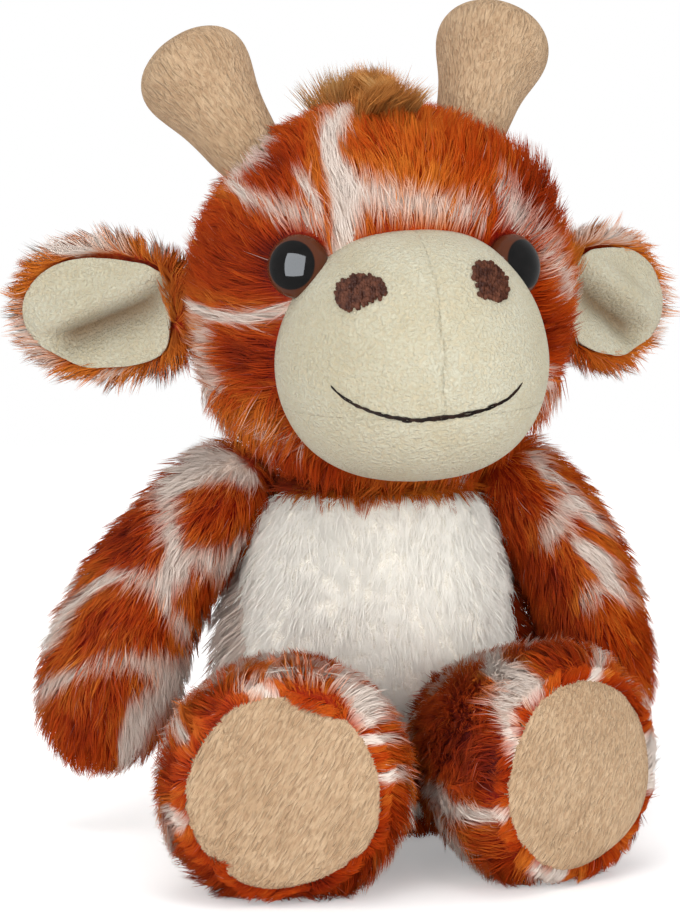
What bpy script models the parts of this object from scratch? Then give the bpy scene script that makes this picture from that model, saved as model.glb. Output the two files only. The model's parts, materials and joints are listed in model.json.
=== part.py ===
"""A seated plush giraffe, about 24 cm tall, with the pile left off its fur fabric.

The giraffe sits at the origin on the flat underside of its seat and faces -Y.
Left and right are its own, so its left side is at +X.
"""

import math

import bmesh
import bpy
from mathutils import Matrix, Vector
from mathutils.bvhtree import BVHTree

# Fabric, stuffing and the room between neighbours, in metres
SKIN = 0.0020
CLEARANCE = 0.0003
STUFFING_GAP = 0.0006
OVERRUN = 0.0030
FLAT_DEPTH = 0.0005
MERGE_DISTANCE = 0.00001

# Torso
TORSO_HEIGHT = 0.106
TORSO_WIDTH = 0.087
TORSO_DEPTH = 0.081
TORSO_BULGE = 0.003
PANEL_WIDTH = 0.079
PANEL_HEIGHT = 0.092
PANEL_BASE = 0.009
BEAD_BAG_WIDTH = 0.046
BEAD_BAG_DEPTH = 0.030
BEAD_BAG_HEIGHT = 0.012

# Neck
NECK_RADIUS = 0.015
NECK_SHIFT = 0.0005
HEAD_TURN = math.radians(6)
HEAD_TILT = math.radians(1.5)

# Head, measured from its middle
HEAD_WIDTH = 0.109
HEAD_DEPTH = 0.100
HEAD_HEIGHT = 0.107
HEAD_FORWARD = 0.012
MUZZLE_WIDTH = 0.0795
MUZZLE_HEIGHT = 0.0735
MUZZLE_DEPTH = 0.084
MUZZLE_FORWARD = 0.040
MUZZLE_DROP = 0.0135
CHIN_DROP = 0.014
NOSTRIL_WIDTH = 0.014
NOSTRIL_HEIGHT = 0.010
NOSTRIL_SPREAD = 0.0185
NOSTRIL_RISE = 0.0212
STITCH_THICKNESS = 0.0008
MOUTH_WIDTH = 0.054
MOUTH_SAG = 0.0070
MOUTH_RISE = 0.0075
THREAD_RADIUS = 0.0006

# Safety eyes
EYE_WIDTH = 0.0185
EYE_DOME = 0.0065
EYE_FLANGE = 0.0012
SHANK_RADIUS = 0.0025
SHANK_LENGTH = 0.0120
WASHER_WIDTH = 0.0160
WASHER_THICKNESS = 0.0016
EYE_LEFT_RISE = 0.0100
EYE_RIGHT_RISE = 0.0125

# Ossicones, the two stuffed horns
HORN_LENGTH = 0.0445
HORN_NECK = 0.0200
HORN_TIP = 0.0370
HORN_LEFT_SPREAD = 0.0290
HORN_RIGHT_SPREAD = 0.0350
HORN_BACK = 0.007
HORN_LEAN_BACK = math.radians(36)
HORN_LEFT_LEAN_OUT = math.radians(25)
HORN_RIGHT_LEAN_OUT = math.radians(31)
HORN_SINK = 0.0015

# Ears
EAR_LENGTH = 0.055
EAR_HEIGHT = 0.039
EAR_THICKNESS = 0.0095
EAR_ROOT = 0.0038
EAR_ROOT_HEIGHT = 0.0190
EAR_LEFT_SWEEP = math.radians(40)
EAR_RIGHT_SWEEP = math.radians(34)
EAR_BACK = 0.010
EAR_RISE = -0.004
EAR_LEFT_DROOP = math.radians(9)
EAR_RIGHT_DROOP = math.radians(0)
EAR_STANDOFF = 0.0020
LINING_THICKNESS = 0.0012

# Arms
ARM_ROOT = 0.0145
ARM_PAW_WIDTH = 0.0395
ARM_PAW_THICKNESS = 0.0300
SHOULDER_SPREAD = 0.0440
SHOULDER_RISE = 0.1010
SHOULDER_BACK = 0.0020
ARM_DROP = 0.0810
ARM_LEFT_REACH = 0.0210
ARM_RIGHT_REACH = 0.0370
ARM_FORWARD = 0.0100
ARM_BOW = 0.0050
ELBOW_OUT = 0.0250
ELBOW_DROP = 0.0180
WRIST_DROP = 0.0500

# Legs
LEG_ROOT = 0.0175
LEG_FOOT = 0.0665
HIP_SPREAD = 0.0250
HIP_FORWARD = 0.0375
HIP_RISE = 0.0322
LEG_LENGTH = 0.0760
LEG_LEFT_OUT = 0.0215
LEG_LEFT_SHORT = 0.0160
LEG_LEFT_BEND = math.radians(34)
LEG_RIGHT_OUT = 0.0130
LEG_RIGHT_SHORT = 0.0
LEG_RIGHT_BEND = math.radians(4)
SOLE_RADIUS = 0.0270
SOLE_DOME = 0.0030

# Mane and tail
MANE_WIDTH = 0.016
MANE_THICKNESS = 0.0020
TAIL_ROOT = 0.0050
TAIL_RADIUS = 0.0042
TAIL_LENGTH = 0.052
TAIL_RISE = 0.017
TAIL_STANDOFF = 0.0015
TUFT_RADIUS = 0.0075
TUFT_LENGTH = 0.026

# Swell and taper of each stuffed body: place along it, width and depth, as shares
torso_shares = (
    (0.000, 0.64, 0.64),
    (0.060, 0.93, 0.93),
    (0.300, 1.02, 1.02),
    (0.560, 0.98, 0.95),
    (0.780, 0.89, 0.80),
    (0.930, 0.79, 0.58),
    (0.985, 0.44, 0.32),
)
head_shares = (
    (0.030, 0.42, 0.42),
    (0.130, 0.74, 0.74),
    (0.300, 0.97, 0.95),
    (0.480, 1.02, 1.02),
    (0.660, 0.97, 0.98),
    (0.830, 0.78, 0.82),
    (0.960, 0.46, 0.48),
)
muzzle_shares = (
    (0.020, 0.44, 0.42),
    (0.120, 0.78, 0.76),
    (0.300, 0.98, 0.97),
    (0.500, 1.02, 1.02),
    (0.700, 0.92, 0.97),
    (0.870, 0.70, 0.76),
    (0.970, 0.42, 0.44),
)

# Swell and taper of each limb: place along it, how far its width has gone from the
# root's to the tip's, and how far its end has rounded in, as shares
arm_shares = (
    (0.030, 0.00, 0.58),
    (0.130, 0.00, 0.97),
    (0.370, 0.30, 1.00),
    (0.640, 0.95, 1.00),
    (0.850, 1.00, 0.97),
    (0.970, 1.00, 0.53),
)
leg_shares = (
    (0.030, 0.00, 0.54),
    (0.130, 0.00, 0.95),
    (0.370, 0.38, 1.00),
    (0.660, 0.84, 1.00),
    (0.880, 1.00, 1.03),
    (1.000, 1.00, 1.00),
)
horn_shares = (
    (0.060, 0.00, 0.76),
    (0.210, 0.00, 1.00),
    (0.470, 0.20, 1.00),
    (0.740, 1.00, 1.03),
    (0.920, 1.00, 0.80),
)
ear_shares = (
    (0.050, 0.00, 0.90),
    (0.170, 0.35, 1.00),
    (0.450, 1.00, 1.00),
    (0.760, 1.00, 0.95),
    (0.950, 1.00, 0.54),
)
tail_shares = (
    (0.020, 0.00, 0.60),
    (0.080, 0.00, 1.00),
    (0.500, 0.60, 1.00),
    (0.960, 1.00, 0.80),
)
tuft_shares = (
    (0.030, 0.00, 0.80),
    (0.250, 0.70, 1.00),
    (0.550, 1.00, 1.03),
    (0.850, 1.00, 0.66),
)
ear_dish_shares = (0.45, 0.66, 0.455)
ear_dish_place_share = 0.53
ear_dish_sink_share = 0.56
ear_rim_share = 0.18
ear_groove_share = 0.36
eye_left_spread_share = 0.272
eye_right_spread_share = 0.290

FINE_SEGMENTS = 12
SEGMENTS = 10
COARSE_SEGMENTS = 8
FILLING_SEGMENTS = 6
SCOOP_SEGMENTS = 16
TURNED_STEPS = 16
SPINE_SAMPLES = 64


def clear_scene():
    for thing in list(bpy.data.objects):
        bpy.data.objects.remove(thing, do_unlink=True)


def new_collection(name):
    collection = bpy.data.collections.new(name)
    bpy.context.scene.collection.children.link(collection)
    return collection


def material(name, colour, roughness, metallic=0.0):
    made = bpy.data.materials.new(name)
    made.use_nodes = True
    shader = made.node_tree.nodes["Principled BSDF"]
    shader.inputs["Base Color"].default_value = (*colour, 1.0)
    shader.inputs["Roughness"].default_value = roughness
    shader.inputs["Metallic"].default_value = metallic
    return made


def add_object(name, mesh, look=None, parent=None, cutter=False):
    """Link a mesh as a part, or as a cutter that the finished toy doesn't show."""
    thing = bpy.data.objects.new(name, mesh)
    (cutters if cutter else parts).objects.link(thing)
    if look is not None:
        mesh.materials.append(look)
    if parent is not None:
        thing.parent = parent
    if cutter:
        thing.hide_render = True
        thing.display_type = "WIRE"
    return thing


def add_empty(name, location, rotation=(0.0, 0.0, 0.0), parent=None):
    empty = bpy.data.objects.new(name, None)
    empty.empty_display_size = NECK_RADIUS
    empty.location = location
    empty.rotation_euler = rotation
    empty.parent = parent
    parts.objects.link(empty)
    return empty


def bezier(points, t):
    """A point and the direction of a cubic curve through space."""
    a, b, c, d = points
    u = 1 - t
    point = a * u**3 + b * (3 * u * u * t) + c * (3 * u * t * t) + d * t**3
    direction = (b - a) * (3 * u * u) + (c - b) * (6 * u * t) + (d - c) * (3 * t * t)
    return point, direction.normalized()


def straight(start, end):
    return start, start.lerp(end, 1 / 3), start.lerp(end, 2 / 3), end


def spine_length(points):
    samples = [bezier(points, i / SPINE_SAMPLES)[0] for i in range(SPINE_SAMPLES + 1)]
    return sum((b - a).length for a, b in zip(samples, samples[1:]))


def spine_frame(points, t, side):
    """The frame across a spine: X towards the side given, Z along the spine."""
    point, along = bezier(points, t)
    across = (side - along * side.dot(along)).normalized()
    frame = Matrix((across, along.cross(across), along)).transposed().to_4x4()
    frame.translation = point
    return frame


def ring_growth(segments):
    """Subdivision draws a ring of so many corners in by this much."""
    return 8 / (6 + 2 * math.cos(2 * math.pi / segments))


def body_rings(shares, width, depth):
    """Rings of a body as wide and deep as named at its fullest."""
    return [(place, wide * width / 2, deep * depth / 2) for place, wide, deep in shares]


def limb_rings(shares, root, tip, root_depth=None, tip_depth=None):
    """Rings of a limb that goes from its root's width to its tip's."""
    root_depth = root if root_depth is None else root_depth
    tip_depth = tip if tip_depth is None else tip_depth
    return [
        (
            place,
            (root + (tip - root) * gone) * rounded / 2,
            (root_depth + (tip_depth - root_depth) * gone) * rounded / 2,
        )
        for place, gone, rounded in shares
    ]


def stuffed_mesh(name, spine, sections, segments, side, inset=0.0,
                 open_start=False, open_end=False):
    """A coarse cage of rings along a spine, from a sphere's rings of corners."""
    rings = len(sections)
    shift = inset / spine_length(spine)
    bm = bmesh.new()
    bmesh.ops.create_uvsphere(bm, u_segments=segments, v_segments=rings + 1, radius=1)
    grow = ring_growth(segments)
    first, last = [], []
    for v in bm.verts:
        angle = math.acos(max(-1.0, min(1.0, -v.co.z)))
        ring = round(angle / math.pi * (rings + 1))
        turn = math.atan2(v.co.y, v.co.x)
        if ring == 0:
            place, half_width, half_depth = 0.0, inset, inset
            first.append(v)
        elif ring == rings + 1:
            place, half_width, half_depth = 1.0, inset, inset
            last.append(v)
        else:
            place, half_width, half_depth = sections[ring - 1]
        across = (half_width - inset) * grow * math.cos(turn)
        upward = (half_depth - inset) * grow * math.sin(turn)
        frame = spine_frame(spine, shift + place * (1 - 2 * shift), side)
        v.co = frame @ Vector((across, upward, 0))
    removed = (first if open_start else []) + (last if open_end else [])
    bmesh.ops.delete(bm, geom=removed, context="VERTS")
    mesh = bpy.data.meshes.new(name)
    bm.to_mesh(mesh)
    bm.free()
    mesh.shade_smooth()
    return mesh


def subdivide(thing, levels=1):
    modifier = thing.modifiers.new("Soft form", "SUBSURF")
    modifier.levels = levels
    modifier.render_levels = levels


def solidify(thing, thickness=None):
    modifier = thing.modifiers.new("Fabric", "SOLIDIFY")
    modifier.thickness = SKIN if thickness is None else thickness
    modifier.offset = -1
    modifier.use_even_offset = True


def boolean(thing, cutter, operation="DIFFERENCE"):
    modifier = thing.modifiers.new(cutter.name, "BOOLEAN")
    modifier.operation = operation
    modifier.solver = "EXACT"
    modifier.object = cutter


def ball(name, radius, location, parent=None, stretch=(1, 1, 1), segments=SCOOP_SEGMENTS):
    """A ball for cutting the seat of a neighbour's rounded root."""
    bm = bmesh.new()
    bmesh.ops.create_uvsphere(bm, u_segments=segments, v_segments=segments // 2, radius=radius)
    bmesh.ops.scale(bm, vec=stretch, verts=bm.verts)
    mesh = bpy.data.meshes.new(name)
    bm.to_mesh(mesh)
    bm.free()
    thing = add_object(name, mesh, parent=parent, cutter=True)
    thing.location = location
    return thing


def block(name, low, high, parent=None):
    """A box cutter from its low corner to its high corner."""
    bm = bmesh.new()
    bmesh.ops.create_cube(bm, size=1)
    for v in bm.verts:
        v.co = Vector([lo + (c + 0.5) * (hi - lo) for c, lo, hi in zip(v.co, low, high)])
    mesh = bpy.data.meshes.new(name)
    bm.to_mesh(mesh)
    bm.free()
    return add_object(name, mesh, parent=parent, cutter=True)


def turned(name, profile, look=None, parent=None, cutter=False):
    """A round piece about Z from an outline that runs down its outer side."""
    bm = bmesh.new()
    verts = [bm.verts.new((radius, 0, height)) for radius, height in profile]
    for a, b in zip(verts, verts[1:]):
        bm.edges.new((a, b))
    mesh = bpy.data.meshes.new(name)
    bm.to_mesh(mesh)
    bm.free()
    thing = add_object(name, mesh, look, parent, cutter)
    screw = thing.modifiers.new("Turned", "SCREW")
    screw.steps = TURNED_STEPS
    screw.render_steps = TURNED_STEPS
    screw.use_merge_vertices = True
    screw.merge_threshold = MERGE_DISTANCE
    screw.use_smooth_shade = True
    return thing


def turned_ring(name, inner, outer, low, high, look, parent):
    """A flat washer: its outline closes on itself."""
    bm = bmesh.new()
    corners = ((outer, high), (outer, low), (inner, low), (inner, high))
    verts = [bm.verts.new((radius, 0, height)) for radius, height in corners]
    for a, b in zip(verts, verts[1:] + verts[:1]):
        bm.edges.new((a, b))
    mesh = bpy.data.meshes.new(name)
    bm.to_mesh(mesh)
    bm.free()
    thing = add_object(name, mesh, look, parent)
    screw = thing.modifiers.new("Turned", "SCREW")
    screw.steps = TURNED_STEPS
    screw.render_steps = TURNED_STEPS
    screw.use_merge_vertices = True
    screw.merge_threshold = MERGE_DISTANCE
    return thing


def surface_tree(thing):
    """The outside of a finished form in its own space, for finding points on it."""
    bpy.context.view_layer.update()
    graph = bpy.context.evaluated_depsgraph_get()
    return BVHTree.FromObject(thing, graph)


def front_point(tree, across, height, reach):
    """The point where a line running back along +Y meets a form."""
    hit, normal, _, _ = tree.ray_cast(Vector((across, -reach, height)), Vector((0, 1, 0)))
    return hit, normal


def face_out(thing, point, normal):
    """Stand a piece on a surface, with its own Z along the surface's normal."""
    turn = normal.to_track_quat("Z", "Y").to_matrix().to_4x4()
    turn.translation = point
    thing.matrix_local = turn


clear_scene()
parts = new_collection("plush_giraffe")
cutters = new_collection("cutters")

patched_fur = material("patched_fur", (0.40, 0.10, 0.02), 0.9)
belly_fur = material("belly_fur", (0.82, 0.79, 0.70), 0.9)
short_pile = material("short_pile", (0.72, 0.66, 0.52), 0.85)
tan_pile = material("tan_pile", (0.56, 0.40, 0.24), 0.85)
mane_fur = material("mane_fur", (0.46, 0.20, 0.07), 0.9)
wadding = material("wadding", (0.85, 0.85, 0.83), 0.95)
bead_cloth = material("bead_cloth", (0.75, 0.72, 0.66), 0.9)
eye_plastic = material("eye_plastic", (0.012, 0.008, 0.006), 0.12)
washer_plastic = material("washer_plastic", (0.80, 0.80, 0.78), 0.4)
nostril_thread = material("nostril_thread", (0.09, 0.03, 0.02), 0.8)
mouth_thread = material("mouth_thread", (0.02, 0.015, 0.012), 0.7)

ACROSS = Vector((1, 0, 0))
UPRIGHT = Vector((0, 0, 1))
ALONG = Vector((0, 1, 0))


# Torso: a patched tube that stands on its seat, cut flat below and open at the neck
torso_spine = (
    Vector((0, 0, -FLAT_DEPTH)),
    Vector((0, -TORSO_BULGE, TORSO_HEIGHT / 3)),
    Vector((0, -TORSO_BULGE, TORSO_HEIGHT * 2 / 3)),
    Vector((0, 0, TORSO_HEIGHT)),
)


def torso_form(name, segments, inset=0.0, open_end=False):
    return stuffed_mesh(
        name, torso_spine, body_rings(torso_shares, TORSO_WIDTH, TORSO_DEPTH), segments,
        ACROSS, inset=inset, open_end=open_end,
    )


def panel_cutter(name, room):
    """The belly panel's rounded outline, run through the front half of the torso."""
    bm = bmesh.new()
    bmesh.ops.create_cone(
        bm, cap_ends=True, segments=SCOOP_SEGMENTS, radius1=1, radius2=1, depth=1
    )
    squareness_share = 0.62
    half_width = PANEL_WIDTH / 2 + room
    half_height = PANEL_HEIGHT / 2 + room
    for v in bm.verts:
        turn = math.atan2(v.co.y, v.co.x)
        c, s = math.cos(turn), math.sin(turn)
        x = math.copysign(abs(c) ** squareness_share, c) * half_width
        z = math.copysign(abs(s) ** squareness_share, s) * half_height
        y = -TORSO_DEPTH if v.co.z > 0 else room - SKIN
        v.co = (x, y, PANEL_BASE + PANEL_HEIGHT / 2 + z)
    bmesh.ops.recalc_face_normals(bm, faces=bm.faces)
    mesh = bpy.data.meshes.new(name)
    bm.to_mesh(mesh)
    bm.free()
    return add_object(name, mesh, cutter=True)


torso_skin = add_object(
    "torso_skin", torso_form("torso_skin", FINE_SEGMENTS, open_end=True), patched_fur
)
belly_panel = add_object(
    "belly_panel", torso_form("belly_panel", FINE_SEGMENTS, open_end=True), belly_fur
)
torso_filling = add_object(
    "torso_filling", torso_form("torso_filling", FILLING_SEGMENTS, SKIN + STUFFING_GAP), wadding
)
for shell in (torso_skin, belly_panel):
    subdivide(shell)
    solidify(shell)
subdivide(torso_filling)

below = block(
    "below_the_seat",
    (-TORSO_WIDTH, -TORSO_DEPTH * 2, -OVERRUN - FLAT_DEPTH),
    (TORSO_WIDTH, TORSO_DEPTH, 0),
)
boolean(torso_skin, panel_cutter("panel_opening", CLEARANCE))
boolean(belly_panel, panel_cutter("panel_outline", 0), "INTERSECT")
boolean(torso_skin, below)

bead_low = SKIN + CLEARANCE
bead_bag_middle = bead_low + BEAD_BAG_HEIGHT / 2


def bead_form(name, room, cutter=False, look=None):
    bm = bmesh.new()
    bmesh.ops.create_uvsphere(bm, u_segments=SEGMENTS, v_segments=COARSE_SEGMENTS, radius=1)
    half = (BEAD_BAG_WIDTH / 2 + room, BEAD_BAG_DEPTH / 2 + room, BEAD_BAG_HEIGHT / 2 + room)
    bmesh.ops.scale(bm, vec=half, verts=bm.verts)
    mesh = bpy.data.meshes.new(name)
    bm.to_mesh(mesh)
    bm.free()
    mesh.shade_smooth()
    thing = add_object(name, mesh, look, cutter=cutter)
    thing.location = (0, TORSO_DEPTH / 8, bead_bag_middle + STUFFING_GAP)
    return thing


bead_bag = bead_form("seat_bead_bag", 0, look=bead_cloth)
boolean(torso_filling, bead_form("bead_pocket", STUFFING_GAP, cutter=True))

# Neck: a round plug of wadding in the opening where the head is sewn to the torso
neck_middle = Vector((NECK_SHIFT, 0, TORSO_HEIGHT + CLEARANCE * 2))
neck_frame = add_empty("neck_joint", neck_middle)
neck_bm = bmesh.new()
bmesh.ops.create_uvsphere(neck_bm, u_segments=FINE_SEGMENTS, v_segments=SEGMENTS, radius=NECK_RADIUS)
neck_mesh = bpy.data.meshes.new("neck_filling")
neck_bm.to_mesh(neck_mesh)
neck_bm.free()
neck_mesh.shade_smooth()
neck_filling = add_object("neck_filling", neck_mesh, wadding, neck_frame)
neck_scoop = ball("neck_scoop", NECK_RADIUS + STUFFING_GAP, neck_middle)
for piece in (torso_skin, belly_panel, torso_filling):
    boolean(piece, neck_scoop)

# Head: turned and tilted a little about the neck, with its own middle above and ahead
head_frame = add_empty("head_joint", neck_middle, (0, -HEAD_TILT, HEAD_TURN))
head_frame.rotation_mode = "XYZ"
head_middle = Vector((0, -HEAD_FORWARD, HEAD_HEIGHT / 2))
head_low = head_middle - Vector((0, 0, HEAD_HEIGHT / 2 - CLEARANCE * 2))
head_high = head_middle + Vector((0, 0, HEAD_HEIGHT / 2))
head_spine = straight(head_low, head_high)


def head_form(name, segments, inset=0.0):
    return stuffed_mesh(
        name, head_spine, body_rings(head_shares, HEAD_WIDTH, HEAD_DEPTH), segments,
        ACROSS, inset=inset,
    )


head_skin = add_object("head_skin", head_form("head_skin", FINE_SEGMENTS), patched_fur, head_frame)
subdivide(head_skin)
solidify(head_skin)
head_filling = add_object(
    "head_filling", head_form("head_filling", FILLING_SEGMENTS, SKIN + STUFFING_GAP), wadding, head_frame
)
subdivide(head_filling)
head_outside = add_object(
    "head_outside", head_form("head_outside", FINE_SEGMENTS, -CLEARANCE), parent=head_frame, cutter=True
)
subdivide(head_outside)
head_neck_scoop = ball("head_neck_scoop", NECK_RADIUS + STUFFING_GAP, (0, 0, 0), head_frame)
for piece in (head_skin, head_filling):
    boolean(piece, head_neck_scoop)

# Muzzle: an egg of smooth short-pile cloth sewn over the front of the head
muzzle_middle = head_middle + Vector((0, -MUZZLE_FORWARD, -MUZZLE_DROP))
muzzle_spine = straight(
    muzzle_middle - Vector((0, 0, MUZZLE_HEIGHT / 2)),
    muzzle_middle + Vector((0, 0, MUZZLE_HEIGHT / 2)),
)


def muzzle_form(name, segments, inset=0.0):
    rings = body_rings(muzzle_shares, MUZZLE_WIDTH, MUZZLE_DEPTH)
    return stuffed_mesh(name, muzzle_spine, rings, segments, ACROSS, inset=inset)


muzzle_filling = add_object(
    "muzzle_filling", muzzle_form("muzzle_filling", FILLING_SEGMENTS, SKIN + STUFFING_GAP), wadding, head_frame
)
subdivide(muzzle_filling)
boolean(muzzle_filling, head_outside)
muzzle_outside = add_object(
    "muzzle_outside", muzzle_form("muzzle_outside", FINE_SEGMENTS), parent=head_frame, cutter=True
)
subdivide(muzzle_outside)
muzzle_tree = surface_tree(muzzle_outside)
muzzle_reach = HEAD_DEPTH * 2
chin_line = muzzle_middle.z - CHIN_DROP
half_gap = CLEARANCE / 2
wide = MUZZLE_WIDTH
muzzle_pieces = {
    "muzzle_panel_left": ((half_gap, -muzzle_reach, chin_line + half_gap), (wide, 0, muzzle_reach)),
    "muzzle_panel_right": ((-wide, -muzzle_reach, chin_line + half_gap), (-half_gap, 0, muzzle_reach)),
    "chin_panel": ((-wide, -muzzle_reach, -muzzle_reach), (wide, 0, chin_line - half_gap)),
}
for name, (low, high) in muzzle_pieces.items():
    panel = add_object(name, muzzle_form(name, FINE_SEGMENTS), short_pile, head_frame)
    subdivide(panel)
    solidify(panel)
    boolean(panel, head_outside)
    boolean(panel, block(name + "_piece", low, high, head_frame), "INTERSECT")

# Nostrils: two thick half-moons of satin stitch on the muzzle's upper front
stitch_outer = add_object(
    "stitch_outer", muzzle_form("stitch_outer", FINE_SEGMENTS, -CLEARANCE - STITCH_THICKNESS),
    parent=head_frame, cutter=True,
)
stitch_inner = add_object(
    "stitch_inner", muzzle_form("stitch_inner", FINE_SEGMENTS, -CLEARANCE), parent=head_frame, cutter=True
)
for cage in (stitch_outer, stitch_inner):
    subdivide(cage)
for side, sign in (("left", 1), ("right", -1)):
    spot, out = front_point(
        muzzle_tree, sign * NOSTRIL_SPREAD, muzzle_middle.z + NOSTRIL_RISE, muzzle_reach
    )
    bm = bmesh.new()
    bmesh.ops.create_cone(
        bm, cap_ends=True, segments=FINE_SEGMENTS, radius1=1, radius2=1, depth=SKIN * 4
    )
    bmesh.ops.scale(bm, vec=(NOSTRIL_WIDTH / 2, NOSTRIL_HEIGHT / 2, 1), verts=bm.verts)
    mesh = bpy.data.meshes.new("nostril_" + side)
    bm.to_mesh(mesh)
    bm.free()
    patch = add_object("nostril_" + side, mesh, nostril_thread, head_frame)
    face_out(patch, spot, out)
    boolean(patch, stitch_outer, "INTERSECT")
    boolean(patch, stitch_inner)

# Mouth: one line of black thread laid across the muzzle in a smile
mouth_points = 17
mouth_curve = bpy.data.curves.new("mouth_thread", "CURVE")
mouth_curve.dimensions = "3D"
mouth_curve.bevel_depth = THREAD_RADIUS
mouth_curve.bevel_resolution = 1
mouth_curve.use_fill_caps = True
mouth_line = mouth_curve.splines.new("POLY")
mouth_line.points.add(mouth_points - 1)
for i, point in enumerate(mouth_line.points):
    share = 2 * i / (mouth_points - 1) - 1
    height = chin_line + MOUTH_RISE - MOUTH_SAG * (1 - share * share)
    spot, out = front_point(muzzle_tree, share * MOUTH_WIDTH / 2, height, muzzle_reach)
    point.co = (*(spot + out * (THREAD_RADIUS + CLEARANCE * 2)), 1)
mouth = bpy.data.objects.new("mouth_curve", mouth_curve)
parts.objects.link(mouth)
bpy.context.view_layer.update()
graph = bpy.context.evaluated_depsgraph_get()
mouth_mesh = bpy.data.meshes.new_from_object(mouth.evaluated_get(graph))
bpy.data.objects.remove(mouth, do_unlink=True)
mouth_mesh.name = "mouth_thread"
bm = bmesh.new()
bm.from_mesh(mouth_mesh)
bmesh.ops.remove_doubles(bm, verts=bm.verts, dist=MERGE_DISTANCE)
bm.to_mesh(mouth_mesh)
bm.free()
mouth_mesh.shade_smooth()
mouth_mesh.materials.clear()
add_object("mouth_thread", mouth_mesh, mouth_thread, head_frame)

# Eyes: a domed button on a shank through the skin, with a washer pressed on inside
head_tree = surface_tree(head_outside)
eye_places = (
    ("left", HEAD_WIDTH * eye_left_spread_share, EYE_LEFT_RISE),
    ("right", -HEAD_WIDTH * eye_right_spread_share, EYE_RIGHT_RISE),
)
for side, spread, rise in eye_places:
    spot, out = front_point(head_tree, spread, head_middle.z + rise, muzzle_reach)
    eye_frame = add_empty("eye_place_" + side, (0, 0, 0), parent=head_frame)
    face_out(eye_frame, spot, out)
    half_eye = EYE_WIDTH / 2
    dome = []
    dome_steps = 6
    for step in range(dome_steps + 1):
        turn = math.pi / 2 * step / dome_steps
        dome.append((half_eye * math.sin(turn), EYE_FLANGE + EYE_DOME * math.cos(turn)))
    under = [(half_eye, 0), (SHANK_RADIUS, 0), (SHANK_RADIUS, -SHANK_LENGTH), (0, -SHANK_LENGTH)]
    turned("eye_" + side, dome + under, eye_plastic, eye_frame)
    washer_high = -SKIN - CLEARANCE * 6
    turned_ring(
        "eye_washer_" + side, SHANK_RADIUS + CLEARANCE, WASHER_WIDTH / 2,
        washer_high - WASHER_THICKNESS, washer_high, washer_plastic, eye_frame,
    )
    hole_radius = SHANK_RADIUS + CLEARANCE
    pocket_radius = WASHER_WIDTH / 2 + STUFFING_GAP
    pocket_low = -SHANK_LENGTH - STUFFING_GAP
    hole = turned(
        "eye_hole_" + side,
        [(0, OVERRUN), (hole_radius, OVERRUN), (hole_radius, -OVERRUN * 2), (0, -OVERRUN * 2)],
        parent=eye_frame, cutter=True,
    )
    pocket = turned(
        "eye_pocket_" + side,
        [(0, OVERRUN), (pocket_radius, OVERRUN), (pocket_radius, pocket_low), (0, pocket_low)],
        parent=eye_frame, cutter=True,
    )
    boolean(head_skin, hole)
    boolean(head_filling, pocket)
    eye_room = turned(
        "eye_room_" + side,
        [
            (0, OVERRUN * 3),
            (half_eye + CLEARANCE, OVERRUN * 3),
            (half_eye + CLEARANCE, -CLEARANCE),
            (0, -CLEARANCE),
        ],
        parent=eye_frame, cutter=True,
    )
    for piece in (head_skin, muzzle_filling, parts.objects["muzzle_panel_" + side]):
        boolean(piece, eye_room)

# Ossicones: two stuffed clubs, each rocking on its rounded root in the crown
horn_places = (
    ("left", 1, HORN_LEFT_SPREAD, HORN_LEFT_LEAN_OUT),
    ("right", -1, HORN_RIGHT_SPREAD, HORN_RIGHT_LEAN_OUT),
)
horn_rings = limb_rings(horn_shares, HORN_NECK, HORN_TIP)
for side, sign, spread, lean_out in horn_places:
    lean = Matrix.Rotation(sign * lean_out, 4, "Y") @ Matrix.Rotation(-HORN_LEAN_BACK, 4, "X")
    down = Vector((0, 0, -1))
    hit, out, _, _ = head_tree.ray_cast(
        Vector((sign * spread, head_middle.y + HORN_BACK, HEAD_HEIGHT * 2)), down
    )
    horn_frame = add_empty("ossicone_joint_" + side, hit + out * HORN_SINK, parent=head_frame)
    horn_frame.rotation_euler = lean.to_euler()
    root = HORN_NECK / 2
    horn_spine = straight(Vector((0, 0, -root)), Vector((0, 0, HORN_LENGTH)))
    skin = add_object(
        "ossicone_skin_" + side,
        stuffed_mesh("ossicone_skin_" + side, horn_spine, horn_rings, COARSE_SEGMENTS, ACROSS,
                     open_start=True),
        tan_pile, horn_frame,
    )
    subdivide(skin)
    solidify(skin, SKIN / 2)
    filling = add_object(
        "ossicone_filling_" + side,
        stuffed_mesh("ossicone_filling_" + side, horn_spine, horn_rings, FILLING_SEGMENTS, ACROSS,
                     inset=SKIN / 2 + STUFFING_GAP),
        wadding, horn_frame,
    )
    subdivide(filling)
    scoop = ball(
        "ossicone_scoop_" + side, root + CLEARANCE * 4, (0, 0, 0), horn_frame,
        segments=SCOOP_SEGMENTS - 4,
    )
    for piece in (head_skin, head_filling):
        boolean(piece, scoop)

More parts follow.
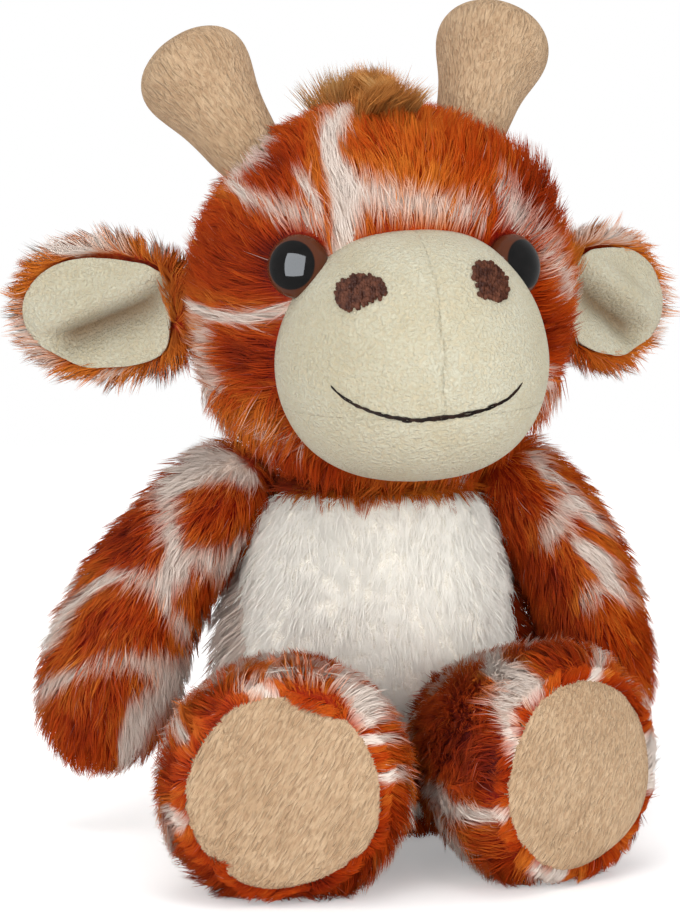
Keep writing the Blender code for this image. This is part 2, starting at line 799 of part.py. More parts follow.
# Ears: a fur cup with a smooth lining, folding on a rounded root in a groove
ear_places = (
    ("left", 1, EAR_LEFT_DROOP, EAR_LEFT_SWEEP),
    ("right", -1, EAR_RIGHT_DROOP, EAR_RIGHT_SWEEP),
)
ear_rings = limb_rings(ear_shares, EAR_ROOT_HEIGHT, EAR_HEIGHT, EAR_ROOT * 2, EAR_THICKNESS)
for side, sign, droop, sweep in ear_places:
    hit, out, _, _ = head_tree.ray_cast(
        Vector((sign * HEAD_WIDTH, head_middle.y + EAR_BACK, head_middle.z + EAR_RISE)),
        Vector((-sign, 0, 0)),
    )
    place = hit + Vector((sign, 0, 0)) * EAR_STANDOFF
    ear_frame = add_empty("ear_joint_" + side, place, parent=head_frame)
    ear_frame.rotation_euler = (0, sign * droop, sign * sweep)
    outward = Vector((sign, 0, 0))
    ear_spine = straight(outward * -EAR_ROOT, outward * EAR_LENGTH)
    ear_outer = add_object(
        "ear_outer_" + side,
        stuffed_mesh("ear_outer_" + side, ear_spine, ear_rings, SEGMENTS, UPRIGHT),
        patched_fur, ear_frame,
    )
    subdivide(ear_outer)
    dish_middle = outward * EAR_LENGTH * ear_dish_place_share
    dish_middle.y = -EAR_THICKNESS * ear_dish_sink_share
    ear_size = (EAR_LENGTH, EAR_THICKNESS, EAR_HEIGHT)
    dish_size = [size * share for size, share in zip(ear_size, ear_dish_shares)]
    dish = ball("ear_dish_" + side, 1, dish_middle, ear_frame, dish_size)
    boolean(ear_outer, dish)
    lining_room = Vector((1, 1, 1)) * CLEARANCE
    lining_size = Vector(dish_size) - lining_room
    bm = bmesh.new()
    bmesh.ops.create_uvsphere(bm, u_segments=SCOOP_SEGMENTS, v_segments=SCOOP_SEGMENTS // 2, radius=1)
    bmesh.ops.scale(bm, vec=lining_size, verts=bm.verts)
    cut = bmesh.ops.bisect_plane(
        bm, geom=bm.verts[:] + bm.edges[:] + bm.faces[:], plane_co=(0, EAR_THICKNESS * ear_rim_share, 0),
        plane_no=(0, -1, 0), clear_outer=True,
    )
    mesh = bpy.data.meshes.new("ear_lining_" + side)
    bm.to_mesh(mesh)
    bm.free()
    mesh.shade_smooth()
    lining = add_object("ear_lining_" + side, mesh, short_pile, ear_frame)
    lining.location = dish_middle
    solidify(lining, LINING_THICKNESS)
    groove = ball(
        "ear_groove_" + side, 1, (0, 0, 0), ear_frame,
        (EAR_ROOT - CLEARANCE, EAR_ROOT - CLEARANCE, EAR_HEIGHT * ear_groove_share),
    )
    for piece in (head_skin, head_filling):
        boolean(piece, groove)

# Mane: a strip of longer fur sewn from the crown down the back of the head
mane_outer = add_object(
    "mane_strip", head_form("mane_strip", FINE_SEGMENTS, -CLEARANCE - MANE_THICKNESS), mane_fur, head_frame
)
subdivide(mane_outer)
mane_inside = add_object(
    "mane_inside", head_form("mane_inside", FINE_SEGMENTS, -CLEARANCE), parent=head_frame, cutter=True
)
subdivide(mane_inside)
boolean(mane_outer, mane_inside)
mane_block = block(
    "mane_piece",
    (-MANE_WIDTH / 2, head_middle.y - HEAD_DEPTH / 8, head_middle.z - HEAD_HEIGHT / 4),
    (MANE_WIDTH / 2, HEAD_DEPTH, HEAD_HEIGHT * 2),
    head_frame,
)
boolean(mane_outer, mane_block, "INTERSECT")


# Arms: each swings on a ball-shaped root that sits in a scoop of the shoulder
def arm_spine(sign, reach):
    elbow = Vector((sign * ELBOW_OUT, -ARM_FORWARD / 4, -ELBOW_DROP))
    wrist = Vector((sign * (reach + ARM_BOW), -ARM_FORWARD, -WRIST_DROP))
    return -elbow.normalized() * ARM_ROOT, elbow, wrist, Vector((sign * reach, -ARM_FORWARD, -ARM_DROP))


# The left arm's flat side is turned to the body, and the right arm's to the front
arm_places = (("left", 1, ARM_LEFT_REACH, ALONG), ("right", -1, ARM_RIGHT_REACH, ACROSS))
arm_rings = limb_rings(arm_shares, ARM_ROOT * 2, ARM_PAW_WIDTH, ARM_ROOT * 2, ARM_PAW_THICKNESS)
for side, sign, reach, flat in arm_places:
    shoulder = Vector((sign * SHOULDER_SPREAD, SHOULDER_BACK, SHOULDER_RISE))
    arm_frame = add_empty("arm_joint_" + side, shoulder)
    spine = arm_spine(sign, reach)
    skin = add_object(
        "arm_skin_" + side,
        stuffed_mesh("arm_skin_" + side, spine, arm_rings, COARSE_SEGMENTS, flat, open_start=True),
        patched_fur, arm_frame,
    )
    subdivide(skin)
    solidify(skin)
    filling = add_object(
        "arm_filling_" + side,
        stuffed_mesh("arm_filling_" + side, spine, arm_rings, FILLING_SEGMENTS, flat,
                     inset=SKIN + STUFFING_GAP),
        wadding, arm_frame,
    )
    subdivide(filling)
    scoop = ball("shoulder_scoop_" + side, ARM_ROOT + CLEARANCE, shoulder)
    for piece in (torso_skin, belly_panel, torso_filling):
        boolean(piece, scoop)


# Legs: each lies forward from a ball-shaped root in the hip and ends in a sole
def leg_spine(sign, out, short, bend):
    end = Vector((sign * out, -LEG_LENGTH + short, 0))
    back = Vector((-sign * math.sin(bend), math.cos(bend), 0))
    start = Vector((0, LEG_ROOT, 0))
    return start, Vector((0, -LEG_LENGTH / 4, 0)), end + back * LEG_LENGTH / 3, end


leg_places = {
    "left": (1, LEG_LEFT_OUT, LEG_LEFT_SHORT, LEG_LEFT_BEND),
    "right": (-1, LEG_RIGHT_OUT, LEG_RIGHT_SHORT, LEG_RIGHT_BEND),
}
leg_rings = limb_rings(leg_shares, LEG_ROOT * 2, LEG_FOOT)
sole_ring = SOLE_RADIUS + SKIN / 2
leg_rings[-1] = (1, sole_ring, sole_ring)
for side, (sign, out, short, bend) in leg_places.items():
    hip = Vector((sign * HIP_SPREAD, -HIP_FORWARD, HIP_RISE))
    leg_frame = add_empty("leg_joint_" + side, hip)
    spine = leg_spine(sign, out, short, bend)
    skin = add_object(
        "leg_skin_" + side,
        stuffed_mesh("leg_skin_" + side, spine, leg_rings, SEGMENTS, UPRIGHT,
                     open_start=True, open_end=True),
        patched_fur, leg_frame,
    )
    subdivide(skin)
    solidify(skin)
    filling = add_object(
        "leg_filling_" + side,
        stuffed_mesh("leg_filling_" + side, spine, leg_rings, FILLING_SEGMENTS, UPRIGHT,
                     inset=SKIN + STUFFING_GAP),
        wadding, leg_frame,
    )
    subdivide(filling)
    floor_cut = block(
        "floor_under_leg_" + side,
        (-LEG_LENGTH, -LEG_LENGTH * 2, -HIP_RISE - OVERRUN * 2),
        (LEG_LENGTH, LEG_LENGTH, -HIP_RISE),
        leg_frame,
    )
    boolean(skin, floor_cut)
    sole_rim = SKIN / 2
    dome = []
    dome_steps = 4
    for step in range(dome_steps + 1):
        turn = math.pi / 2 * step / dome_steps
        dome.append((SOLE_RADIUS * math.sin(turn), sole_rim + SOLE_DOME * math.cos(turn)))
    sole = turned(
        "sole_pad_" + side, dome + [(SOLE_RADIUS, -sole_rim), (0, -sole_rim)], tan_pile, leg_frame
    )
    sole_frame = spine_frame(spine, 1, UPRIGHT)
    sole.matrix_local = sole_frame
    sole_room = turned(
        "sole_room_" + side,
        [
            (0, OVERRUN * 3),
            (SOLE_RADIUS + CLEARANCE, OVERRUN * 3),
            (SOLE_RADIUS + CLEARANCE, -sole_rim - CLEARANCE),
            (0, -sole_rim - CLEARANCE),
        ],
        parent=leg_frame, cutter=True,
    )
    sole_room.matrix_local = sole_frame
    for piece in (skin, filling):
        boolean(piece, sole_room)
    scoop = ball("hip_scoop_" + side, LEG_ROOT + STUFFING_GAP + CLEARANCE, hip)
    for piece in (torso_skin, belly_panel, torso_filling):
        boolean(piece, scoop)

# Tail: a thin fur cord with a brown tuft, lying behind the seat
torso_tree = surface_tree(torso_filling)
tail_hit, _, _, _ = torso_tree.ray_cast(Vector((0, TORSO_DEPTH, TAIL_RISE)), Vector((0, -1, 0)))
tail_place = tail_hit + Vector((0, SKIN + STUFFING_GAP + TAIL_STANDOFF, 0))
tail_frame = add_empty("tail_joint", tail_place)
tail_low = TAIL_RADIUS + CLEARANCE * 2 - TAIL_RISE
tail_spine = (
    Vector((0, -TAIL_ROOT, 0)),
    Vector((0, TAIL_LENGTH / 3, 0)),
    Vector((0, TAIL_LENGTH / 3, tail_low)),
    Vector((-TAIL_LENGTH / 6, TAIL_LENGTH, tail_low)),
)
tail_rings = limb_rings(tail_shares, TAIL_ROOT * 2, TAIL_RADIUS * 2)
tail_skin = add_object(
    "tail_skin",
    stuffed_mesh("tail_skin", tail_spine, tail_rings, FILLING_SEGMENTS, ACROSS),
    patched_fur, tail_frame,
)
subdivide(tail_skin)
tuft_start, tuft_along = bezier(tail_spine, 1)
tuft_start = tuft_start - tuft_along * TAIL_RADIUS
tuft_end = tuft_start + Vector((tuft_along.x, tuft_along.y, 0)) * TUFT_LENGTH
tuft_end.z = TUFT_RADIUS - TAIL_RISE
tail_tuft = add_object(
    "tail_tuft",
    stuffed_mesh("tail_tuft", straight(tuft_start, tuft_end),
                 limb_rings(tuft_shares, TAIL_RADIUS * 2, TUFT_RADIUS * 2), COARSE_SEGMENTS, ACROSS),
    mane_fur, tail_frame,
)
subdivide(tail_tuft)
tail_room = add_object(
    "tail_room",
    stuffed_mesh("tail_room", tail_spine, tail_rings, FILLING_SEGMENTS, ACROSS, inset=-CLEARANCE),
    parent=tail_frame, cutter=True,
)
subdivide(tail_room)
boolean(tail_tuft, tail_room)
tail_scoop = ball("tail_scoop", TAIL_ROOT + CLEARANCE, tail_place, segments=SCOOP_SEGMENTS - 8)
for piece in (torso_skin, torso_filling):
    boolean(piece, tail_scoop)
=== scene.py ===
"""A seated plush giraffe in patched long-pile fur, dressed over its fixed model.

The giraffe faces -Y, sits on z = 0, and its own left is at +X.
"""

import json
import math

import bmesh
import bpy
import numpy as np
from mathutils import Euler, Matrix, Vector
from mathutils.bvhtree import BVHTree
from mathutils.kdtree import KDTree

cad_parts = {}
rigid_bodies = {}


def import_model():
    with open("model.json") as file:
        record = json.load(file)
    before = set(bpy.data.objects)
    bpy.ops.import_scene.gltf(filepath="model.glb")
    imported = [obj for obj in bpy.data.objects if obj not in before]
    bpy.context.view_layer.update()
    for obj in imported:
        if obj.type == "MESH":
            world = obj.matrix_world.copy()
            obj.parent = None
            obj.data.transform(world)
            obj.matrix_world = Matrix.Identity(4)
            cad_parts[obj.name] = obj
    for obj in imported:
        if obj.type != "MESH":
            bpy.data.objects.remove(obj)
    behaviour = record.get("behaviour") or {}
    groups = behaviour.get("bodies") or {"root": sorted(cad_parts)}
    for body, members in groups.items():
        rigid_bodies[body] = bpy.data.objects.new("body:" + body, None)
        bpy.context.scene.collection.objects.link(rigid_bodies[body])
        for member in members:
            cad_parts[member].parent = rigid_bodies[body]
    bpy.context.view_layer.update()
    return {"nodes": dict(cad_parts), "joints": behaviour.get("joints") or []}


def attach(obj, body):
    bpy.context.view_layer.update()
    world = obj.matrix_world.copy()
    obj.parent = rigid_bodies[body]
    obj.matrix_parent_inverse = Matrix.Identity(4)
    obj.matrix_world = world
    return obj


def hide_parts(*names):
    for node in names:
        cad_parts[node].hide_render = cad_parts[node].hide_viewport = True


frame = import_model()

MM = 0.001
SIDES = ("left", "right")
hinges = {joint["name"]: Vector(joint["pos_m"]) for joint in frame["joints"]}
scene = bpy.context.scene
scene.view_settings.view_transform = "Standard"


# Camera: a long lens at the height of the head, a little to the giraffe's right.
# One pixel of a 680 by 914 frame is 0.3 mm at the middle of the toy.
frame_width, frame_height = 680, 914
pixel = 0.30 * MM
camera_turn = math.radians(-6)
camera_rise = math.radians(8)
camera_distance = 1.3
target = Vector((-0.010, 0.0024, 0.109))
backward = Vector((
    math.sin(camera_turn) * math.cos(camera_rise),
    -math.cos(camera_turn) * math.cos(camera_rise),
    math.sin(camera_rise),
))
rightward = Vector((math.cos(camera_turn), math.sin(camera_turn), 0))
upward = backward.cross(rightward)
camera_data = bpy.data.cameras.new("camera")
camera_data.sensor_width = 36
camera_data.lens = camera_data.sensor_width * camera_distance / (frame_height * pixel)
camera_data.clip_start = 0.05
camera = bpy.data.objects.new("camera", camera_data)
scene.collection.objects.link(camera)
camera_place = Matrix((rightward, upward, backward)).transposed().to_4x4()
camera_place.translation = target + backward * camera_distance
camera.matrix_world = camera_place
scene.camera = camera


def photo_places(points):
    """Where points of the toy fall in the camera's frame, in pixels from its upper left."""
    away = points - np.array(target)
    scale = camera_distance / (camera_distance - away @ np.array(backward)) / pixel
    across = frame_width / 2 + away @ np.array(rightward) * scale
    down = frame_height / 2 - away @ np.array(upward) * scale
    return np.stack([across, down], 1)


def seen_on(tree, x, y):
    """The point and normal where the line of sight through a pixel meets a surface."""
    offset = rightward * (x - frame_width / 2) - upward * (y - frame_height / 2)
    sight = (target + offset * pixel - camera.matrix_world.translation).normalized()
    hit, out, _, _ = tree.ray_cast(camera.matrix_world.translation, sight)
    return hit, out


# Shader maths: a socket that can be added and multiplied, and a material or world that
# makes its nodes from short calls.
class Wire:
    """A shader socket. Sums written with it add Math nodes to its tree."""

    def __init__(self, look, socket):
        self.look = look
        self.socket = socket

    def joined(self, operation, other):
        return self.look.node("ShaderNodeMath", {"operation": operation}, {0: self, 1: other})

    def __add__(self, other):
        return self.joined("ADD", other)

    def __mul__(self, other):
        return self.joined("MULTIPLY", other)

    def most(self, other):
        return self.joined("MAXIMUM", other)

    __radd__ = __add__
    __rmul__ = __mul__


class Look:
    """A material or world whose nodes are written as Python expressions."""

    def __init__(self, owner):
        self.owner = owner
        owner.use_nodes = True
        self.tree = owner.node_tree

    def node(self, kind, settings=None, sockets=None, output=0):
        made = self.tree.nodes.new(kind)
        for name, value in (settings or {}).items():
            if name == "stops":
                stops = made.color_ramp.elements
                while len(stops) < len(value):
                    stops.new(1.0)
                for stop, (place, colour) in zip(stops, value):
                    stop.position = place
                    stop.color = (*colour, 1.0)
            else:
                setattr(made, name, value)
        for name, value in (sockets or {}).items():
            self.feed(made.inputs[name], value)
        return Wire(self, made.outputs[output])

    def feed(self, socket, value):
        if isinstance(value, Wire):
            self.tree.links.new(value.socket, socket)
        elif isinstance(value, tuple) and socket.type == "RGBA":
            socket.default_value = (*value, 1.0)
        else:
            socket.default_value = value

    def mixed(self, share, first, second, blend="MIX"):
        """Two colours mixed by a share."""
        made = self.tree.nodes.new("ShaderNodeMix")
        made.data_type = "RGBA"
        made.blend_type = blend
        for place, value in ((0, share), (6, first), (7, second)):
            self.feed(made.inputs[place], value)
        return Wire(self, made.outputs[2])

    def spot(self):
        """The place on the piece, in metres."""
        return self.node("ShaderNodeTexCoord", output=3)

    def stretched(self, scale, turn=(0, 0, 0)):
        """The place on the piece, for a grain drawn out by a scale along turned axes."""
        settings = {"vector_type": "TEXTURE"}
        return self.node("ShaderNodeMapping", settings, {0: self.spot(), 2: turn, 3: scale})

    def noise(self, vector, scale, detail=2.0, rough=0.5, distortion=0.0):
        sockets = {"Vector": vector, "Scale": scale, "Detail": detail, "Roughness": rough,
                   "Distortion": distortion}
        return self.node("ShaderNodeTexNoise", None, sockets)

    def held(self, name):
        """A number kept on the piece's points."""
        return self.node("ShaderNodeAttribute", {"attribute_name": name}, output=2)

    def range(self, value, low, high, new_low=0.0, new_high=1.0):
        """A value's smooth way from one range to another."""
        sockets = {0: value, 1: low, 2: high, 3: new_low, 4: new_high}
        return self.node("ShaderNodeMapRange", {"interpolation_type": "SMOOTHSTEP"}, sockets)

    def coat_colour(self, dark, rust, golden, line):
        """The print: its tone runs from dark over rust to golden, its lines are pale."""
        stops = ((0.0, dark), (0.42, rust), (0.95, golden))
        patch = self.node("ShaderNodeValToRGB", {"stops": stops}, {0: self.held("tone")})
        return self.mixed(self.held("patch"), line, patch)

    def cover(self, colour, roughness, height=None, depth=0.0, strength=1.0, **plain):
        """Joins the look to the surface: what varies by node, what doesn't as numbers."""
        shader = self.tree.nodes["Principled BSDF"]
        self.feed(shader.inputs["Base Color"], colour)
        self.feed(shader.inputs["Roughness"], roughness)
        for name, value in plain.items():
            self.feed(shader.inputs[name.replace("_", " ")], value)
        if height is not None:
            sockets = {"Strength": strength, "Distance": depth, "Height": height}
            bump = self.node("ShaderNodeBump", None, sockets)
            self.feed(shader.inputs["Normal"], bump)
        return self.owner


def shade(red, green, blue):
    """A colour as a screen shows it, from 0 to 255, in the shader's scale."""
    parts = [part / 255 for part in (red, green, blue)]
    return tuple(p / 12.92 if p <= 0.04045 else ((p + 0.055) / 1.055) ** 2.4 for p in parts)


def new_look(name):
    return Look(bpy.data.materials.new(name))


def kept_mesh(name, bm):
    """The mesh of a finished bmesh, smooth shaded."""
    mesh = bpy.data.meshes.new(name)
    bm.to_mesh(mesh)
    bm.free()
    mesh.shade_smooth()
    return mesh


def new_object(name, data):
    made = bpy.data.objects.new(name, data)
    scene.collection.objects.link(made)
    return made


# Light: a warm window at the left with a large cool glare in front of it that only shiny
# pieces see, a dimmer fill at the right, a low one in front, and others above and behind.
WHITE = (1.0, 1.0, 1.0)
room_light, backdrop_light = 0.46, 1.0
world = Look(bpy.data.worlds.new("studio"))
scene.world = world.owner
paths = world.tree.nodes.new("ShaderNodeLightPath")
seen = Wire(world, paths.outputs["Is Camera Ray"]).most(Wire(world, paths.outputs["Is Transmission Ray"]))
around = world.node("ShaderNodeBackground", None, {"Color": WHITE, "Strength": room_light})
backdrop = world.node("ShaderNodeBackground", None, {"Color": WHITE, "Strength": backdrop_light})
world.feed(
    world.tree.nodes["World Output"].inputs["Surface"],
    world.node("ShaderNodeMixShader", None, {0: seen, 1: around, 2: backdrop}),
)


def softbox(name, place, aim_height, width, height, power, colour=WHITE):
    """An area lamp turned to a height on the toy's middle. No shiny piece mirrors it."""
    data = bpy.data.lights.new(name, "AREA")
    data.shape = "RECTANGLE"
    data.size = width
    data.size_y = height
    data.energy = power
    data.color = colour
    lamp = new_object(name, data)
    turn = (Vector((0, 0, aim_height)) - Vector(place)).to_track_quat("-Z", "Y").to_matrix().to_4x4()
    turn.translation = Vector(place)
    lamp.matrix_world = turn
    lamp.visible_glossy = False
    return lamp


softbox("window", (-0.62, -0.95, 0.46), 0.12, 0.80, 0.95, 6.0, (1.0, 0.985, 0.96))
gleam = softbox("window_gleam", (-0.66, -0.86, 0.42), 0.12, 1.10, 1.15, 46.0, (0.90, 0.95, 1.0))
gleam.visible_diffuse = False
gleam.visible_glossy = True
softbox("fill", (0.95, -0.85, 0.40), 0.10, 0.7, 0.7, 6.0)
softbox("low", (0.10, -1.25, 0.02), 0.07, 0.9, 0.5, 4.0)
softbox("top", (-0.1, -0.1, 1.15), 0.12, 0.8, 0.8, 4.2)
softbox("rim", (0.35, 0.95, 0.65), 0.12, 0.6, 0.4, 4.0)
softbox("behind", (-0.55, 1.10, 0.40), 0.10, 0.8, 0.8, 5.0)


# Floor: a pale round sheet that keeps the toy's shadow, glows a little for the camera and
# fades into the white backdrop.
floor_radius, fade_start, fade_end = 0.9, 0.30, 0.85
floor_glow = 0.30
bm = bmesh.new()
bmesh.ops.create_circle(bm, cap_ends=True, segments=96, radius=floor_radius)
floor = new_object("floor", kept_mesh("floor", bm))
floor_look = new_look("floor")
floor_grain = floor_look.noise(floor_look.spot(), 60.0)
floor_paths = Wire(floor_look, floor_look.tree.nodes.new("ShaderNodeLightPath").outputs["Is Camera Ray"])
from_middle = floor_look.node("ShaderNodeVectorMath", {"operation": "LENGTH"}, {0: floor_look.spot()}, 1)
floor.data.materials.append(floor_look.cover(
    floor_look.mixed(floor_grain, (0.93, 0.93, 0.93), (0.95, 0.95, 0.95)), 0.9,
    Emission_Color=WHITE, Emission_Strength=floor_paths * floor_glow,
    Alpha=floor_look.range(from_middle, fade_start, fade_end, 1.0, 0.0), Specular_IOR_Level=0.1,
))
floor.visible_glossy = False


# Patches: the printed coat of the fur. Off-white lines divide rust patches, whose edges
# are golden and whose middles are darker. Lines are x, y and half-width in pixels of the
# front view; round the back, the same kind of patches fill the coat evenly.
coat_lines = {
    "head": (
        ((346, 106, 7), (333, 124, 12), (328, 140, 9), (331, 158, 9), (340, 176, 14),
         (350, 194, 19), (346, 212, 15), (343, 232, 11), (338, 252, 7)),
        ((349, 194, 17), (375, 194, 13), (405, 200, 10), (440, 206, 9), (468, 212, 7),
         (484, 220, 4)),
        ((228, 180, 5), (245, 196, 6), (270, 205, 7), (300, 212, 8), (318, 224, 5)),
        ((300, 178, 5), (310, 192, 7), (318, 206, 5)),
        ((264, 136, 6), (250, 155, 7), (238, 167, 6), (226, 180, 4)),
        ((498, 180, 4), (508, 194, 7), (516, 212, 8), (530, 226, 7),
         (545, 240, 5), (558, 258, 5), (568, 274, 6), (574, 294, 4)),
        ((158, 300, 4), (185, 304, 6), (205, 312, 6), (222, 318, 6), (250, 318, 6),
         (275, 312, 7), (294, 304, 6)),
        ((205, 312, 6), (197, 330, 6), (200, 345, 5), (193, 360, 7), (205, 378, 6),
         (212, 392, 6), (198, 404, 7)),
        ((234, 424, 1), (262, 438, 2), (302, 446, 2)),
        ((548, 370, 5), (552, 392, 6), (545, 412, 5)),
    ),
    "arm_right": (
        ((205, 440, 8), (192, 462, 24), (226, 466, 16), (252, 480, 8)),
        ((170, 478, 18), (192, 462, 22)),
        ((160, 488, 10), (166, 520, 8), (172, 545, 9), (178, 562, 11), (158, 586, 9)),
        ((178, 558, 9), (205, 560, 11), (224, 575, 7), (240, 545, 6)),
        ((92, 587, 5), (110, 577, 6), (135, 579, 6), (160, 586, 9), (184, 578, 8)),
        ((44, 645, 9), (58, 622, 7), (76, 600, 5), (94, 586, 5)),
        ((160, 590, 8), (168, 610, 6), (178, 622, 6), (186, 636, 4)),
        ((46, 690, 7), (70, 676, 5), (95, 666, 5), (130, 661, 6), (165, 672, 10),
         (190, 672, 11), (206, 682, 6)),
        ((182, 680, 12), (160, 700, 12), (140, 720, 15), (130, 745, 13), (125, 766, 8)),
    ),
    "arm_left": (
        ((536, 452, 6), (549, 478, 6)),
        ((570, 503, 10), (559, 524, 11), (547, 540, 8)),
        ((560, 480, 3), (580, 505, 6), (606, 530, 5)),
        ((584, 548, 9), (604, 562, 11), (612, 585, 9), (624, 596, 6)),
        ((575, 542, 5), (590, 548, 8)),
        ((585, 602, 4), (606, 590, 5)),
        ((640, 706, 6), (664, 716, 10)),
    ),
    "leg_right": (
        ((238, 684, 5), (262, 690, 8), (282, 702, 4)),
        ((268, 672, 4), (300, 668, 4), (330, 676, 4)),
        ((342, 680, 8), (364, 702, 13), (388, 690, 15), (370, 718, 11)),
        ((356, 742, 5), (396, 736, 5)),
        ((385, 778, 6), (406, 772, 6)),
        ((172, 714, 5), (184, 738, 4)),
        ((148, 818, 7), (165, 812, 8), (180, 826, 6)),
        ((130, 780, 6), (137, 802, 7)),
    ),
    "leg_left": (
        ((486, 662, 9), (508, 674, 16), (532, 688, 11), (502, 700, 11), (506, 722, 7),
         (512, 742, 6), (517, 762, 5)),
        ((600, 664, 5), (592, 682, 4)),
        ((650, 740, 7), (657, 765, 9), (650, 784, 7)),
        ((428, 790, 9), (445, 810, 9), (470, 816, 7), (502, 816, 7)),
        ((438, 830, 9), (455, 852, 9)),
        ((534, 870, 7), (550, 882, 9), (562, 872, 7)),
        ((600, 846, 5), (618, 834, 5)),
    ),
    "ear_right": (
        ((50, 246, 9), (85, 244, 11), (118, 234, 8)),
        ((12, 300, 6), (20, 330, 9), (40, 366, 9)),
        ((96, 378, 5), (118, 374, 5)),
    ),
    "ear_left": (
        ((586, 228, 8), (612, 228, 10), (634, 240, 6)),
        ((668, 296, 7), (664, 330, 8)),
    ),
    "body": (
        ((540, 500, 5), (520, 540, 4)),
    ),
}
# Where a patch is more golden than the rest, or darker: x, y, reach and by how much
# The darker mark at 530, 570, by the arm on the viewer's right, is painted shade
coat_tones = (
    (289, 265, 36, -0.30), (505, 257, 34, -0.30), (90, 300, 90, 0.46), (640, 300, 70, 0.48),
    (410, 140, 78, 0.36), (350, 230, 30, 0.25), (430, 226, 52, 0.34), (312, 160, 22, 0.3),
    (270, 158, 44, -0.42), (546, 190, 46, -0.50), (560, 330, 52, -0.28), (205, 262, 55, -0.10),
    (270, 250, 40, -0.22), (235, 345, 36, -0.34), (178, 330, 34, 0.26), (255, 415, 34, 0.32),
    (120, 540, 52, -0.24), (128, 625, 60, 0.06), (80, 712, 52, 0.02), (215, 520, 44, 0.02),
    (188, 600, 30, 0.05), (530, 570, 46, -0.10), (575, 560, 46, 0.0), (620, 640, 40, 0.10),
    (478, 762, 52, -0.38), (490, 850, 38, 0.02), (165, 770, 48, -0.10), (330, 690, 44, 0.06),
    (580, 675, 34, -0.20), (330, 875, 70, -0.05), (420, 492, 70, 0.55), (300, 470, 46, -0.10),
)


def smooth_share(low, high, value):
    """The smooth way of a value from 0 at a low mark to 1 at a high one."""
    share = np.clip((value - low) / (high - low), 0, 1)
    return share * share * (3 - 2 * share)


def wobble(points, size):
    """A smooth uneven value, from about -1 to 1, that changes over a size."""
    total = np.zeros(len(points))
    for turn, (a, b, c) in enumerate(((1.0, 0.6, -0.4), (-0.5, 1.1, 0.7), (0.8, -0.7, 1.2))):
        wave = points @ np.array((a, b, c)) / size * (1 + 0.7 * turn) + 1.3 * turn
        total += np.sin(wave + 1.4 * np.sin(points @ np.array((c, a, b)) / size))
    return total / 3


def wander(points, size):
    """A smooth uneven direction, which changes over a size."""
    return np.stack([wobble(points + 0.1 * k, size) for k in range(3)], 1)


def reach_from(points, place):
    """How far each point is from a place."""
    return np.linalg.norm(points - np.array(place), axis=1)


def line_gaps(places, lines):
    """How far each place lies outside the nearest line's edge, in pixels."""
    nearest = np.full(len(places), 1e3)
    for line in lines:
        for (x, y, half), (x2, y2, half2) in zip(line, line[1:]):
            along = np.array((x2 - x, y2 - y), float)
            share = np.clip((places - (x, y)) @ along / (along @ along), 0, 1)
            reach = reach_from(places - share[:, None] * along, (x, y))
            nearest = np.minimum(nearest, reach - (half + (half2 - half) * share))
    return nearest


def cell_gaps(points, seeds):
    """How far each point lies from the line between its patch and the next one."""
    reach = np.linalg.norm(points[:, None] - seeds[None], axis=2)
    reach.partition(1, axis=1)
    return (reach[:, 1] - reach[:, 0]) / 2


def spread_seeds(points, number):
    """Points chosen so that each lies as far as it can from the others."""
    chosen = [points[0]]
    reach = reach_from(points, chosen[0])
    for _ in range(number - 1):
        chosen.append(points[reach.argmax()])
        reach = np.minimum(reach, reach_from(points, chosen[-1]))
    return np.array(chosen)


def coat(part, points, normals, seeds):
    """Each point's share of patch against line, and its tone from dark to golden."""
    places = photo_places(points)
    to_front = smooth_share(0.02, 0.32, normals @ np.array(backward))
    front = line_gaps(places, coat_lines[part]) * pixel
    back = cell_gaps(points, seeds) - 2.4 * MM - 0.8 * MM * wobble(points, 9 * MM)
    gap = front * to_front + back * (1 - to_front)
    gap = gap + 0.7 * MM * wobble(points, 3.2 * MM)
    patch = smooth_share(-1.0 * MM, 0.8 * MM, gap)
    tone = 0.62 - 0.30 * smooth_share(1 * MM, 9 * MM, gap) + 0.10 * wobble(points, 12 * MM)
    for x, y, reach, more in coat_tones:
        near = np.exp(-(((places - (x, y)) / reach) ** 2).sum(1) * 1.6)
        tone = tone + more * near * to_front
    return patch, np.clip(tone, 0, 1)


# Head: one closed bag of fur fabric, stuffed firm and round, turned a little to the side.
CLEARANCE = 0.3 * MM
ACROSS = Vector((1, 0, 0))
ALONG = Vector((0, 1, 0))
UPRIGHT = Vector((0, 0, 1))
head_width, head_depth, head_height = 109 * MM, 100 * MM, 107 * MM
head_forward = 12 * MM
head_turn = Euler((0, math.radians(-1.5), math.radians(6)), "XYZ")
head_place = Matrix.Translation(hinges["head_nod"]) @ head_turn.to_matrix().to_4x4()
head_axes = head_place.to_3x3()
head_middle = Vector((0, -head_forward, head_height / 2))
head_shares = ((0.030, 0.42, 0.42), (0.130, 0.74, 0.74), (0.300, 0.97, 0.95),
               (0.480, 1.02, 1.02), (0.660, 0.97, 0.98), (0.830, 0.78, 0.82),
               (0.960, 0.46, 0.48))


def bezier(points, t):
    a, b, c, d = points
    u = 1 - t
    point = a * u**3 + b * (3 * u * u * t) + c * (3 * u * t * t) + d * t**3
    direction = (b - a) * (3 * u * u) + (c - b) * (6 * u * t) + (d - c) * (3 * t * t)
    return point, direction.normalized()


def straight(start, end):
    return start, start.lerp(end, 1 / 3), start.lerp(end, 2 / 3), end


def spine_frame(points, t, side):
    point, along = bezier(points, t)
    across = (side - along * side.dot(along)).normalized()
    made = Matrix((across, along.cross(across), along)).transposed().to_4x4()
    made.translation = point
    return made


def body_rings(shares, width, depth):
    return [(place, wide * width / 2, deep * depth / 2) for place, wide, deep in shares]


